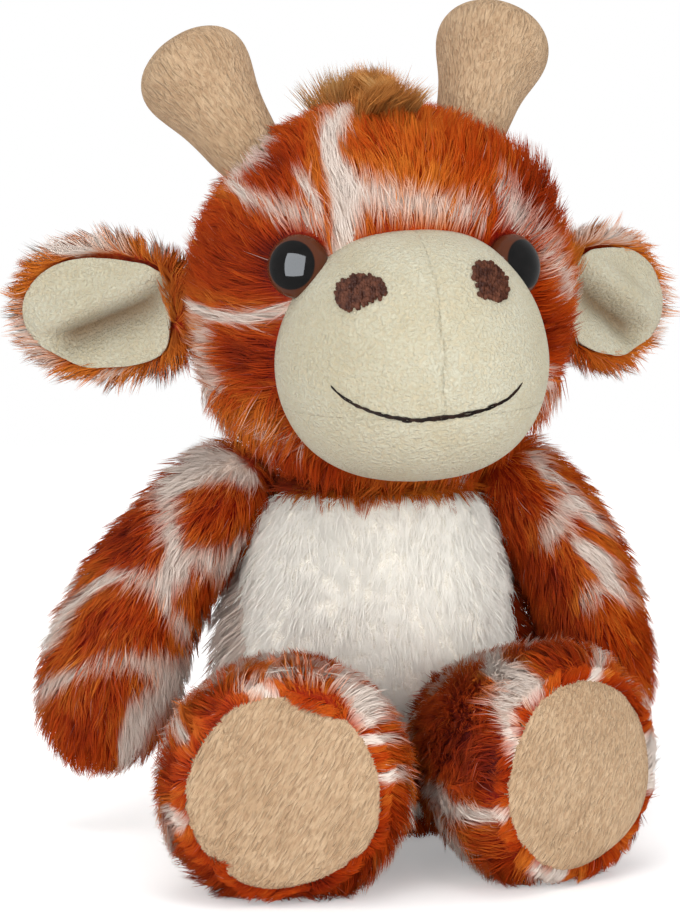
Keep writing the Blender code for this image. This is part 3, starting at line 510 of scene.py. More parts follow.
def limb_rings(shares, root, tip, root_depth=None, tip_depth=None):
    root_depth = root if root_depth is None else root_depth
    tip_depth = tip if tip_depth is None else tip_depth
    return [
        (place, (root + (tip - root) * gone) * rounded / 2,
         (root_depth + (tip_depth - root_depth) * gone) * rounded / 2)
        for place, gone, rounded in shares
    ]


def stuffed(name, place, spine, sections, segments, side, levels=3, open_start=False, open_end=False):
    """A stuffed bag: rings along a spine, from a sphere's rings, finely subdivided.

    A sphere's faces come in any order, so they are sorted: the pile then grows the same each time.
    """
    rings = len(sections)
    bm = bmesh.new()
    bmesh.ops.create_uvsphere(bm, u_segments=segments, v_segments=rings + 1, radius=1)
    grow = 8 / (6 + 2 * math.cos(2 * math.pi / segments))
    ends = []
    for v in bm.verts:
        ring = round(math.acos(max(-1.0, min(1.0, -v.co.z))) / math.pi * (rings + 1))
        turn = math.atan2(v.co.y, v.co.x)
        at, half_width, half_depth = 0.0, 0.0, 0.0
        if ring == 0 or ring == rings + 1:
            at = 0.0 if ring == 0 else 1.0
            if (ring == 0 and open_start) or (ring > 0 and open_end):
                ends.append(v)
        else:
            at, half_width, half_depth = sections[ring - 1]
        across = half_width * grow * math.cos(turn)
        deep = half_depth * grow * math.sin(turn)
        v.co = place @ spine_frame(spine, at, side) @ Vector((across, deep, 0))
    bmesh.ops.delete(bm, geom=ends, context="VERTS")
    bm.verts.index_update()
    faces = []
    for face in bm.faces:
        corners = [v.index for v in face.verts]
        first = corners.index(min(corners))
        faces.append(corners[first:] + corners[:first])
    mesh = bpy.data.meshes.new(name)
    mesh.from_pydata([v.co[:] for v in bm.verts], [], sorted(faces))
    bm.free()
    return finely(name, mesh, levels)


def finely(name, mesh, levels):
    """The mesh with its subdivision applied, as a piece at the origin."""
    cage = new_object(name + "_cage", mesh)
    soft = cage.modifiers.new("Soft form", "SUBSURF")
    soft.levels = levels
    soft.render_levels = levels
    bpy.context.view_layer.update()
    fine = bpy.data.meshes.new_from_object(cage.evaluated_get(bpy.context.evaluated_depsgraph_get()))
    bpy.data.objects.remove(cage)
    bpy.data.meshes.remove(mesh)
    fine.name = name
    fine.shade_smooth()
    return new_object(name, fine)


class Surface:
    """A piece's points, normals and triangles, for growing pile on it."""

    def __init__(self, mesh):
        count = len(mesh.vertices)
        self.points = np.empty(count * 3)
        mesh.vertices.foreach_get("co", self.points)
        self.points = self.points.reshape(-1, 3)
        self.normals = np.empty(count * 3)
        mesh.vertex_normals.foreach_get("vector", self.normals)
        self.normals = self.normals.reshape(-1, 3)
        mesh.calc_loop_triangles()
        self.corners = np.empty(len(mesh.loop_triangles) * 3, int)
        mesh.loop_triangles.foreach_get("vertices", self.corners)
        self.corners = self.corners.reshape(-1, 3)
        a, b, c = (self.points[self.corners[:, i]] for i in range(3))
        self.areas = np.linalg.norm(np.cross(b - a, c - a), axis=1) / 2

    def tree(self):
        return BVHTree.FromPolygons([Vector(point) for point in self.points], self.corners.tolist())

    def scattered(self, per_mm2, draw):
        """Roots spread evenly over the surface, with their normals."""
        count = int(self.areas.sum() / MM**2 * per_mm2)
        face = draw.choice(len(self.areas), count, p=self.areas / self.areas.sum())
        u, v = draw.random(count), draw.random(count)
        over = u + v > 1
        u[over], v[over] = 1 - u[over], 1 - v[over]
        weights = np.stack([1 - u - v, u, v], 1)[:, :, None]
        roots = (self.points[self.corners[face]] * weights).sum(1)
        normals = (self.normals[self.corners[face]] * weights).sum(1)
        return roots, unit(normals)


def unit(vectors):
    """The vectors at a length of 1."""
    return vectors / np.maximum(np.linalg.norm(vectors, axis=1, keepdims=True), 1e-9)


def tangent(directions, normals):
    """The part of each direction that lies along the surface."""
    return unit(directions - normals * (directions * normals).sum(1, keepdims=True))


# Strands: a bent one has a foot of three corners, a middle of three and a tip, a short one
# only a foot and a tip. Each face has its own place in the strand's cell of the map.
bent_faces = ((0, 1, 4, 3), (1, 2, 5, 4), (2, 0, 3, 5), (3, 4, 6), (4, 5, 6), (5, 3, 6))
bent_map = (
    ((0.03, 0.12), (0.34, 0.12), (0.34, 0.56), (0.03, 0.56)),
    ((0.34, 0.12), (0.66, 0.12), (0.66, 0.56), (0.34, 0.56)),
    ((0.66, 0.12), (0.97, 0.12), (0.97, 0.56), (0.66, 0.56)),
    ((0.03, 0.56), (0.34, 0.56), (0.18, 0.98)),
    ((0.34, 0.56), (0.66, 0.56), (0.50, 0.98)),
    ((0.66, 0.56), (0.97, 0.56), (0.82, 0.98)),
)
short_faces = ((0, 1, 3), (1, 2, 3), (2, 0, 3))
short_map = (
    ((0.03, 0.12), (0.34, 0.12), (0.18, 0.98)),
    ((0.34, 0.12), (0.66, 0.12), (0.50, 0.98)),
    ((0.66, 0.12), (0.97, 0.12), (0.82, 0.98)),
)


def strand_mesh(name, points, leans, faces, layout, held):
    """One mesh of many strands, each with the same few faces and its own map cell."""
    count, each = points.shape[:2]
    corners = np.concatenate([np.array(face) for face in faces])
    sizes = np.array([len(face) for face in faces])
    mesh = bpy.data.meshes.new(name)
    mesh.vertices.add(count * each)
    mesh.vertices.foreach_set("co", points.reshape(-1).astype(np.float32))
    mesh.loops.add(count * len(corners))
    index = (np.arange(count)[:, None] * each + corners[None]).reshape(-1)
    mesh.loops.foreach_set("vertex_index", index.astype(np.int32))
    mesh.polygons.add(count * len(faces))
    totals = np.tile(sizes, count)
    mesh.polygons.foreach_set("loop_start", (np.cumsum(totals) - totals).astype(np.int32))
    mesh.update(calc_edges=True)
    mesh.shade_smooth()
    mesh.normals_split_custom_set_from_vertices(leans.reshape(-1, 3).tolist())
    side = math.ceil(math.sqrt(count))
    cells = np.stack([np.arange(count) % side, np.arange(count) // side], 1) / side
    local = np.concatenate([np.array(face) for face in layout]) / side
    flat = (cells[:, None] + local[None]).reshape(-1).astype(np.float32)
    mesh.uv_layers.new(name="OFBake").uv.foreach_set("vector", flat)
    for key, values in held.items():
        kept = mesh.attributes.new(key, "FLOAT", "POINT")
        kept.data.foreach_set("value", values.reshape(-1).astype(np.float32))
    return mesh


def keep_values(mesh, **held):
    """Keeps numbers on a mesh's points for its look."""
    for key, values in held.items():
        kept = mesh.attributes.new(key, "FLOAT", "POINT")
        kept.data.foreach_set("value", values.astype(np.float32))


def add_piece(name, mesh, look, body, slot):
    """A finished piece that rides on a body, in the look it is given."""
    mesh.materials.clear()
    mesh.materials.append(look)
    piece = bpy.data.objects.get(name)
    if piece is None:
        piece = new_object(name, mesh)
    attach(piece, body)
    return piece


def sewn(name, mesh, look, body, slot, replaced, thickness=0.0):
    """A cloth piece that stands for one of the model's. An open one gets a wall."""
    piece = add_piece(name, mesh, look, body, slot)
    if thickness:
        wall = piece.modifiers.new("Cloth", "SOLIDIFY")
        wall.thickness = thickness
        wall.offset = -1
    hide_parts(replaced)
    return piece


CLOTH = 1.6 * MM
# Layers of pile: the seed of its draws, strands on a square millimetre, length and width in
# millimetres, how steeply it stands up, and how far the tips are drawn into their lock
piles = {
    "head_fur": (11, 0.72, 9.6, 0.31, 0.58, 0.62),
    "head_underfur": (12, 2.4, 7.2, 0.26, 0.68, 0.62),
    "head_hanging_fur": (13, 0.8, 15.0, 0.34, 0.5, 0.62),
    "body_fur": (21, 0.75, 10.0, 0.32, 0.60, 0.62),
    "body_underfur": (22, 2.0, 7.0, 0.27, 0.7, 0.62),
    "belly_fur": (23, 0.25, 8.5, 0.25, 0.10, 0.15),
    "belly_underfur": (24, 6.0, 5.0, 0.34, 0.12, 0.1),
    "neck_fringe": (25, 2.6, 6.5, 0.30, 0.35, 0.62),
    "arm_right_fur": (28, 0.75, 9.0, 0.31, 0.56, 0.62),
    "arm_right_underfur": (29, 2.15, 7.02, 0.26, 0.68, 0.62),
    "arm_left_fur": (34, 0.75, 9.0, 0.31, 0.56, 0.62),
    "arm_left_underfur": (35, 2.15, 7.02, 0.26, 0.68, 0.62),
    "leg_right_fur": (48, 0.75, 9.0, 0.31, 0.56, 0.62),
    "leg_right_underfur": (49, 2.15, 7.02, 0.26, 0.68, 0.62),
    "leg_left_fur": (54, 0.75, 9.0, 0.31, 0.56, 0.62),
    "leg_left_underfur": (55, 2.15, 7.02, 0.26, 0.68, 0.62),
    "sole_fringe_right": (64, 7.0, 4.6, 0.30, 0.24, 0.4),
    "sole_fringe_left": (66, 7.0, 4.6, 0.30, 0.24, 0.4),
    "ear_fur_right": (70, 1.3, 9.8, 0.30, 0.50, 0.62),
    "ear_fur_left": (72, 1.3, 9.8, 0.30, 0.50, 0.62),
    "ear_underfur_right": (74, 3.0, 7.5, 0.26, 0.62, 0.62),
    "ear_underfur_left": (76, 3.0, 7.5, 0.26, 0.62, 0.62),
    "mane_fur": (81, 3.6, 17.0, 0.32, 1.0, 0.2),
    "mane_underfur": (82, 6.0, 13.0, 0.30, 1.3, 0.15),
    "tail_fur": (91, 0.75, 6.0, 0.31, 0.56, 0.62),
    "tail_underfur": (92, 2.15, 4.68, 0.26, 0.68, 0.62),
    "tail_end_fur": (95, 3.0, 9.0, 0.46, 0.35, 0.6),
}
foot_depth, ground_gap = 0.35 * MM, 0.4 * MM
most_bent, most_short = 19000, 48000


def grow(name, body, slot, surface, comb, colour, keep=None, lock=2.7, stray=0.20, curl=None, longer=None):
    """Pile on a surface, combed along it, with its tips drawn together into locks."""
    seed, per_mm2, length, width, rise, pull = piles[name]
    bent = "underfur" not in name
    draw = np.random.default_rng(seed)
    roots, normals = surface.scattered(per_mm2, draw)
    if keep is not None:
        kept = keep(roots, normals)
        roots, normals = roots[kept], normals[kept]
    count = len(roots)
    lie = tangent(comb(roots, normals), normals)
    heads = draw.choice(count, max(8, int(count / (per_mm2 * lock**2))), replace=False)
    tree = KDTree(len(heads))
    for i, root in enumerate(roots[heads]):
        tree.insert(root, i)
    tree.balance()
    own = np.array([tree.find(root)[1] for root in roots])
    turn = draw.normal(0, 1, (len(heads), 3))[own] * 0.16 + draw.normal(0, 1, (count, 3)) * stray * 0.5
    lie = tangent(lie + turn, normals)
    grown = length * MM * (0.80 + 0.28 * draw.random(len(heads))[own] + 0.22 * draw.random(count))
    if longer is not None:
        grown = grown * longer(roots)
    lift = rise + draw.normal(0, 0.13, len(heads))[own] + draw.normal(0, 0.05, count)
    first = unit(normals * (lift + 0.18)[:, None] + lie)
    second = unit(normals * (lift - 0.22)[:, None] + lie)
    foot = roots - normals * foot_depth
    middle = roots + first * (grown * 0.5)[:, None]
    tip = middle + second * (grown * 0.5)[:, None]
    if curl is not None:
        middle = middle + curl(roots) * (grown * 0.15)[:, None]
        tip = tip + curl(roots) * (grown * 0.6)[:, None]
    gather = (pull * (0.5 + 0.6 * draw.random(count)))[:, None]
    apart = roots - roots[heads][own]
    tip = tip * (1 - gather) + (tip[heads][own] + apart * 0.12) * gather
    middle = middle * (1 - gather * 0.3) + (middle[heads][own] + apart * 0.6) * gather * 0.3
    side = unit(np.cross(first, normals + draw.normal(0, 0.12, (count, 3))))
    other = np.cross(first, side)
    half = width * MM / 2 * (0.75 + 0.5 * draw.random(count))
    roll = math.pi / 2 + draw.normal(0, 0.3, count)
    ring = []
    for k in range(3):
        angle = roll + k * 2 * math.pi / 3
        ring.append((side * np.cos(angle)[:, None] + other * np.sin(angle)[:, None]) * half[:, None])
    if bent:
        rows = [foot + r for r in ring] + [middle + r * 0.8 for r in ring] + [tip]
        along = np.array((0, 0, 0, 0.5, 0.5, 0.5, 1.0))
        faces, layout, most = bent_faces, bent_map, most_bent
    else:
        rows = [foot + r for r in ring] + [tip]
        along = np.array((0, 0, 0, 1.0))
        faces, layout, most = short_faces, short_map, most_short
    points = np.stack(rows, 1)
    points[:, :, 2] = np.maximum(points[:, :, 2], ground_gap)
    outs = [r / np.linalg.norm(r, axis=1, keepdims=True) for r in ring]
    leans = np.stack((outs if not bent else outs * 2) + [first], 1)
    leans = unit((leans * 0.32 + normals[:, None]).reshape(-1, 3)).reshape(leans.shape)
    low_patch, low_tone = colour((roots + middle) / 2, normals)
    high_patch, high_tone = colour(middle * 0.3 + tip * 0.7, normals)
    shift = draw.normal(0, 0.12, count)
    low_patch = smooth_share(0.2, 0.8, low_patch + shift)
    high_patch = smooth_share(0.2, 0.8, high_patch + shift)
    patch = low_patch[:, None] + (high_patch - low_patch)[:, None] * along
    uneven = draw.normal(0, 0.10, len(heads))[own] + draw.normal(0, 0.06, count)
    tone = np.clip(low_tone[:, None] + (high_tone - low_tone)[:, None] * along + uneven[:, None], 0, 1)
    parts = math.ceil(count / most)
    for i in range(parts):
        some = slice(count * i // parts, count * (i + 1) // parts)
        held = {
            "patch": patch[some],
            "tone": tone[some],
            "along": np.repeat(along[None], len(points[some]), 0),
        }
        title = name if parts == 1 else f"{name}_{i + 1}"
        mesh = strand_mesh(title, points[some], leans[some], faces, layout, held)
        add_piece(title, mesh, pelts[slot], body, slot)
    print(name, count, "strands in", parts)


def pile_look(name, dark, rust, golden, line, shaded_root=0.5):
    """Fur: the print's colour with painted shade at the roots, and a painted highlight that makes the tips a
    little more golden.
    """
    look = new_look(name)
    both = look.coat_colour(dark, rust, golden, line)
    # Painted shade: the colour multiplied by itself, by a share, strongest at the roots
    deep = look.mixed(shaded_root, both, look.mixed(1.0, both, both, "MULTIPLY"))
    shaded = look.mixed(look.range(look.held("along"), 0.0, 0.7), deep, both)
    # Painted highlight: the tips are mixed a little towards the golden tone
    tips = look.mixed(look.range(look.held("along"), 0.45, 1.0, 0.0, 0.10), shaded, golden)
    streak = look.noise(look.spot(), 900.0, 1.0)
    return look.cover(
        look.mixed(look.range(streak, 0.2, 0.8, 0.0, 0.12), tips, (1.0, 0.80, 0.60), "SOFT_LIGHT"),
        look.range(streak, 0.0, 1.0, 0.70, 0.88), Specular_IOR_Level=0.05,
    )


def cloth_look(name, dark, rust, golden, line, shaded=1.0):
    """The cloth and the dense foot of the pile, seen between strands, with painted shade: its colour
    multiplied by itself by a share.
    """
    look = new_look(name)
    both = look.coat_colour(dark, rust, golden, line)
    tufts = look.noise(look.spot(), 700.0, 3.0, 0.6)
    # Painted shade between the strands: the colour multiplied by itself, by the share called shaded
    deep = look.mixed(shaded, both, look.mixed(1.0, both, both, "MULTIPLY"))
    return look.cover(look.mixed(look.range(tufts, 0.3, 0.7, 0.0, 0.4), deep, both), 0.95, tufts, 0.8 * MM,
                      Specular_IOR_Level=0.1)


# The dark, the middle and the golden tone of a patch, and the pale line between patches
coat_tints = (shade(126, 30, 2), shade(178, 60, 7), shade(212, 120, 40), shade(236, 222, 212))
belly_tints = (shade(254, 250, 235), shade(255, 252, 240), shade(255, 254, 246), shade(254, 251, 242))
mane_tints = (shade(200, 108, 44), shade(234, 150, 74), shade(250, 194, 126), shade(234, 150, 74))
cream = shade(252, 248, 237)
pelts = {
    "patched_fur": pile_look("patched_pile", *coat_tints),
    "belly_fur": pile_look("belly_pile", *belly_tints, 0.0),
    "mane_fur": pile_look("mane_pile", *mane_tints, 0.15),
}
backings = {
    "patched_fur": cloth_look("patched_backing", *coat_tints),
    "belly_fur": cloth_look("belly_backing", cream, cream, cream, cream, 0.2),
    "mane_fur": cloth_look("mane_backing", *mane_tints),
}


def printed(mesh, part, surface, seeds):
    """Keeps the print on the points of a part's cloth."""
    patch, tone = coat(part, surface.points, surface.normals, seeds)
    keep_values(mesh, patch=patch, tone=tone)


head_half = Vector((0, 0, head_height / 2))
head_spine = straight(head_middle - head_half + Vector((0, 0, CLEARANCE * 2)), head_middle + head_half)
head_rings = body_rings(head_shares, head_width, head_depth)
head_cloth = stuffed("head_cloth", head_place, head_spine, head_rings, 12, ACROSS)
head_surface = Surface(head_cloth.data)
head_seeds = spread_seeds(head_surface.points, 34)
printed(head_cloth.data, "head", head_surface, head_seeds)
sewn("head_cloth", head_cloth.data, backings["patched_fur"], "head", "patched_fur", "head_skin")


# Muzzle: an egg of smooth short-pile cloth in a left and a right half and a chin, turned
# in along the seam between the halves and sewn over the front of the head.
muzzle_width, muzzle_height, muzzle_depth = 79.5 * MM, 73.5 * MM, 84 * MM
muzzle_middle = head_middle + Vector((0, -40 * MM, -13.5 * MM))
chin_line = muzzle_middle.z - 14 * MM
muzzle_shares = ((0.020, 0.44, 0.42), (0.120, 0.78, 0.76), (0.300, 0.98, 0.97), (0.500, 1.02, 1.02),
                 (0.700, 0.92, 0.97), (0.870, 0.70, 0.76), (0.970, 0.42, 0.44))
muzzle_half = Vector((0, 0, muzzle_height / 2))
muzzle_spine = straight(muzzle_middle - muzzle_half, muzzle_middle + muzzle_half)
muzzle_rings = body_rings(muzzle_shares, muzzle_width, muzzle_depth)
muzzle = stuffed("muzzle_whole", head_place, muzzle_spine, muzzle_rings, 12, ACROSS, levels=4)
muzzle_tree = Surface(muzzle.data).tree()
to_head = head_place.inverted()

velboa_look = new_look("short_curly_pile")
curl = velboa_look.noise(velboa_look.spot(), 1150.0, 2.0, 0.5, 0.5)
nubs = velboa_look.node("ShaderNodeTexVoronoi", {"feature": "SMOOTH_F1"},
                        {"Vector": velboa_look.spot(), "Scale": 900.0, "Smoothness": 0.8})
soil = velboa_look.noise(velboa_look.spot(), 42.0, 3.0)
pile_height = velboa_look.range(curl, 0.3, 0.7) * 0.8 + velboa_look.range(nubs, 0.0, 0.8, 1.0, 0.0) * 0.6
warm = velboa_look.mixed(velboa_look.range(soil, 0.35, 0.7), shade(206, 202, 181), shade(199, 192, 167))
# Painted shade in the hollows between the nubs, where the pile is low
pit_shade = velboa_look.range(pile_height, 0.25, 0.9, 0.34, 0.0)
pit_shaded = velboa_look.mixed(pit_shade, warm, shade(196, 176, 138))
# Painted shade in the valley of the ear lining's fold, from the value kept as fold; the muzzle has none
valley_shaded = velboa_look.mixed(velboa_look.held("fold") * 0.9, pit_shaded, shade(122, 96, 66))
velboa = velboa_look.cover(valley_shaded, velboa_look.range(curl, 0.2, 0.8, 0.78, 0.92), pile_height, 0.7 * MM, 0.8,
                           Sheen_Weight=0.1, Sheen_Roughness=0.4, Specular_IOR_Level=0.1)


furrow_depth, furrow_half, furrow_wave = 1.1 * MM, 1.6 * MM, 0.04 * MM
furrow_start, furrow_fade = chin_line - 4 * MM, 12 * MM
for v in muzzle.data.vertices:
    local = to_head @ v.co
    if local.z > furrow_start and local.y < muzzle_middle.y:
        fade = min(1.0, (local.z - furrow_start) / furrow_fade)
        sunk = furrow_depth * math.exp(-((local.x / furrow_half) ** 2))
        v.co += head_axes @ Vector((furrow_wave * math.sin(local.z / (2.6 * MM)), sunk, 0)) * fade


def cut_off(bm, place, planes):
    """Cuts away what lies beyond planes that are given in the place's own axes."""
    for out, through in planes:
        bmesh.ops.bisect_plane(
            bm, geom=bm.verts[:] + bm.edges[:] + bm.faces[:], plane_co=place @ through,
            plane_no=place.to_3x3() @ out, clear_outer=True,
        )


at_chin = Vector((0, 0, chin_line))
muzzle_back = Vector((0, muzzle_middle.y + 16 * MM, 0))
cuts = {
    "muzzle_cloth_left": ("muzzle_panel_left", ((-ACROSS, Vector()), (-UPRIGHT, at_chin))),
    "muzzle_cloth_right": ("muzzle_panel_right", ((ACROSS, Vector()), (-UPRIGHT, at_chin))),
    "chin_cloth": ("chin_panel", ((UPRIGHT, at_chin),)),
}
for name, (replaced, planes) in cuts.items():
    bm = bmesh.new()
    bm.from_mesh(muzzle.data)
    cut_off(bm, head_place, (*planes, (ALONG, muzzle_back)))
    sewn(name, kept_mesh(name, bm), velboa, "head", "short_pile", replaced, CLOTH)
bpy.data.objects.remove(muzzle)


# Head fur: long pile brushed out and back from the muzzle, over the cheeks and the crown,
# and short round the eyes.
def inside(tree, points, margin):
    """Which points lie within a closed surface, or closer to it than a margin."""
    found = np.zeros(len(points), bool)
    for i, point in enumerate(points):
        near, out, _, reach = tree.find_nearest(Vector(point))
        found[i] = (Vector(point) - near).dot(out) < margin
    return found


eye_radius, washer_to_flange, horn_bare = 9.25 * MM, 4.6 * MM, 8.5 * MM
eye_facts = {}
for side in SIDES:
    button = frame["nodes"]["eye_" + side].data
    washer = frame["nodes"]["eye_washer_" + side].data
    button_middle = sum((v.co for v in button.vertices), Vector()) / len(button.vertices)
    washer_middle = sum((v.co for v in washer.vertices), Vector()) / len(washer.vertices)
    axis = (button_middle - washer_middle).normalized()
    eye_facts[side] = (washer_middle + axis * washer_to_flange, axis)


def head_keep(points, normals):
    """The head's fur leaves the muzzle, the eyes and the roots of the ossicones free."""
    kept = ~inside(muzzle_tree, points, -0.9 * MM)
    for place, _ in eye_facts.values():
        kept &= reach_from(points, place) > eye_radius + 0.3 * MM
    for side in SIDES:
        kept &= reach_from(points, hinges["ossicone_bend_" + side]) > horn_bare
    return kept


fur_source = np.array(head_place @ (muzzle_middle + Vector((0, 20 * MM, 4 * MM))))
back_way = np.array(head_axes @ Vector((0, 0.5, -0.6)))


def head_comb(points, normals):
    """The pile runs out from behind the muzzle, parts round the eyes and falls behind."""
    out = unit(points - fur_source)
    to_back = smooth_share(-0.2, 0.7, normals @ np.array(head_axes @ ALONG))[:, None]
    way = out * (1 - 0.8 * to_back) + back_way * 0.8 * to_back
    for place, _ in eye_facts.values():
        near = np.exp(-((reach_from(points, place) / (14 * MM)) ** 2))[:, None]
        way = way + unit(points - np.array(place)) * near * 0.7
    return way + 0.22 * wander(points, 14 * MM)


def head_colour(points, normals):
    return coat("head", points, normals, head_seeds)


def at_temple(points):
    """The pile stands out most over the temple on the viewer's right."""
    temple, spread = (550, 184), 44
    return 1 + 0.85 * np.exp(-((reach_from(photo_places(points), temple) / spread) ** 2))


grow("head_fur", "head", "patched_fur", head_surface, head_comb, head_colour, head_keep, longer=at_temple)
grow("head_underfur", "head", "patched_fur", head_surface, head_comb, head_colour, head_keep)


def under_head(points, normals):
    """The underside of the head, round the neck and behind the chin."""
    down = normals @ np.array(head_axes @ UPRIGHT) < -0.35
    down[down] = head_keep(points[down], normals[down])
    return down


def hanging(points, normals):
    return head_comb(points, normals) + np.array((0, 0, -0.9))


grow("head_hanging_fur", "head", "patched_fur", head_surface, hanging, head_colour, under_head)


# Body: a stuffed tube of the same fur fabric that sits flat, with a cream panel let into
# its front from the neck to the seat.
torso_height, torso_width, torso_depth = 106 * MM, 87 * MM, 81 * MM
torso_bulge = 3 * MM
torso_shares = ((0.000, 0.64, 0.64), (0.060, 0.93, 0.93), (0.300, 1.02, 1.02), (0.560, 0.98, 0.95),
                (0.780, 0.89, 0.80), (0.930, 0.79, 0.58), (0.985, 0.44, 0.32))
torso_spine = (Vector((0, 0, -0.5 * MM)), Vector((0, -torso_bulge, torso_height / 3)),
               Vector((0, -torso_bulge, torso_height * 2 / 3)), Vector((0, 0, torso_height)))
torso_rings = body_rings(torso_shares, torso_width, torso_depth)
torso = stuffed("torso_whole", Matrix(), torso_spine, torso_rings, 12, ACROSS)
for v in torso.data.vertices:
    v.co.z = max(v.co.z, 0.2 * MM)
panel_width, panel_height, panel_base = 79 * MM, 92 * MM, 9 * MM


def on_panel(points):
    """Which points of the body's front are on the belly panel."""
    across = np.abs(points[:, 0]) / (panel_width / 2)
    high = np.abs(points[:, 2] - panel_base - panel_height / 2) / (panel_height / 2)
    return (across ** 7 + high ** 7 < 1) & (points[:, 1] < 0)


torso_surface = Surface(torso.data)
torso_seeds = spread_seeds(torso_surface.points, 22)


def body_colour(points, normals):
    """The patches, and a pale side where the belly's cream runs out under the arm."""
    patch, tone = coat("body", points, normals, torso_seeds)
    pale = smooth_share(0.45, 0.10, normals[:, 1]) * smooth_share(94 * MM, 84 * MM, points[:, 2])
    return patch * (1 - pale * (points[:, 0] < 0)), tone


patch, tone = body_colour(torso_surface.points, torso_surface.normals)
keep_values(torso.data, patch=patch, tone=tone)
for name, slot, replaced, wanted in (("body_cloth", "patched_fur", "torso_skin", False),
                                     ("belly_cloth", "belly_fur", "belly_panel", True)):
    bm = bmesh.new()
    bm.from_mesh(torso.data)
    on = on_panel(np.array([f.calc_center_median() for f in bm.faces]))
    bm.faces.ensure_lookup_table()
    bmesh.ops.delete(bm, geom=[f for f in bm.faces if on[f.index] != wanted], context="FACES")
    sewn(name, kept_mesh(name, bm), backings[slot], "body", slot, replaced, CLOTH)
bpy.data.objects.remove(torso)


def torso_comb(points, normals):
    """The pile runs down and parts outward, over the shoulders and by the hips."""
    way = np.tile(np.array((0.0, 0.05, -1.0)), (len(points), 1))
    top = smooth_share(84 * MM, 98 * MM, points[:, 2]) * smooth_share(20 * MM, 34 * MM, np.abs(points[:, 0]))
    way[:, 0] += np.sign(points[:, 0]) * (0.12 + 1.2 * top)
    way[:, 2] += 1.5 * top
    low = smooth_share(28 * MM, 38 * MM, np.abs(points[:, 0])) * smooth_share(76 * MM, 60 * MM, points[:, 2])
    way[:, 0] += np.sign(points[:, 0]) * 0.9 * low
    return way + 0.25 * wander(points, 16 * MM)


def at_side(points):
    """The pile grows longer where the arms brush the body."""
    return 1 + 0.5 * smooth_share(28 * MM, 40 * MM, np.abs(points[:, 0]))


def belly_comb(points, normals):
    way = np.tile(np.array((0.0, 0.0, -1.0)), (len(points), 1))
    way[:, 0] += np.sign(points[:, 0]) * 1.6 * smooth_share(24 * MM, 40 * MM, np.abs(points[:, 0]))
    return way + 0.30 * wander(points, 13 * MM)


def over_panel(points, normals):
    """The edge of the neck's fur over the top of the panel."""
    near = (points[:, 2] > panel_base + panel_height - 6 * MM) & (np.abs(points[:, 0]) < 37 * MM)
    return near & (points[:, 1] < 0) & ~on_panel(points)


def drooping(points):
    return np.tile(np.array((0.0, -0.25, -1.0)), (len(points), 1))


def neck_colour(points, normals):
    return np.ones(len(points)), 0.78 + 0.22 * wobble(points, 6 * MM)


def belly_colour(points, normals):
    return np.zeros(len(points)), 0.45 + 0.3 * wobble(points, 8 * MM)


shoulder_bare, hip_bare = 6 * MM, 15 * MM


def torso_open(points):
    """Which points are clear of the ground and of the roots of the limbs."""
    free = points[:, 2] > 1.2 * MM
    for side in SIDES:
        free &= reach_from(points, hinges["arm_lift_" + side]) > shoulder_bare
        free &= reach_from(points, hinges["leg_spread_" + side]) > hip_bare
    return free


def off_panel_open(points, normals):
    return torso_open(points) & ~on_panel(points)


def on_panel_open(points, normals):
    return torso_open(points) & on_panel(points)


grow("body_fur", "body", "patched_fur", torso_surface, torso_comb, body_colour, off_panel_open,
     longer=at_side)
grow("body_underfur", "body", "patched_fur", torso_surface, torso_comb, body_colour, off_panel_open)
grow("belly_fur", "body", "belly_fur", torso_surface, belly_comb, belly_colour, on_panel_open)
grow("belly_underfur", "body", "belly_fur", torso_surface, belly_comb, belly_colour, on_panel_open)
grow("neck_fringe", "body", "patched_fur", torso_surface, torso_comb, neck_colour, over_panel, curl=drooping)
# Light passes through the belly's pale down, which has no shadow of its own
for piece in scene.objects:
    if piece.name.startswith("belly_underfur"):
        piece.visible_shadow = False


# Inside: wadding in each bag, a pouch of pellets in the seat and a washer on each eye's
# shank. None of it shows on a whole toy.
wadding_look = new_look("wadding")
fluff = wadding_look.noise(wadding_look.spot(), 160.0, 6.0, 0.7, 0.8)
wadding = wadding_look.cover(
    wadding_look.mixed(fluff, shade(214, 214, 210), shade(246, 246, 244)), 0.95, fluff, 1.5 * MM,
    Sheen_Weight=0.3,
)
pouch_look = new_look("pouch_cloth")
weave = pouch_look.node("ShaderNodeTexWave", {"wave_type": "BANDS"},
                        {"Vector": pouch_look.spot(), "Scale": 900.0, "Distortion": 0.6})
pouch = pouch_look.cover(
    pouch_look.mixed(weave, shade(206, 198, 182), shade(226, 220, 206)), 0.9, weave, 0.2 * MM
)
washer_look = new_look("washer_plastic")
cloud = washer_look.noise(washer_look.spot(), 120.0, 3.0)
washer_finish = washer_look.cover(
    washer_look.mixed(cloud, shade(222, 222, 216), shade(236, 236, 232)),
    washer_look.range(cloud, 0.0, 1.0, 0.32, 0.48),
)
for name, node in frame["nodes"].items():
    finish = None
    if "filling" in name:
        finish = wadding
    elif name == "seat_bead_bag":
        finish = pouch
    elif name.startswith("eye_washer"):
        finish = washer_finish
    if finish is not None:
        for spot in node.material_slots:
            spot.material = finish


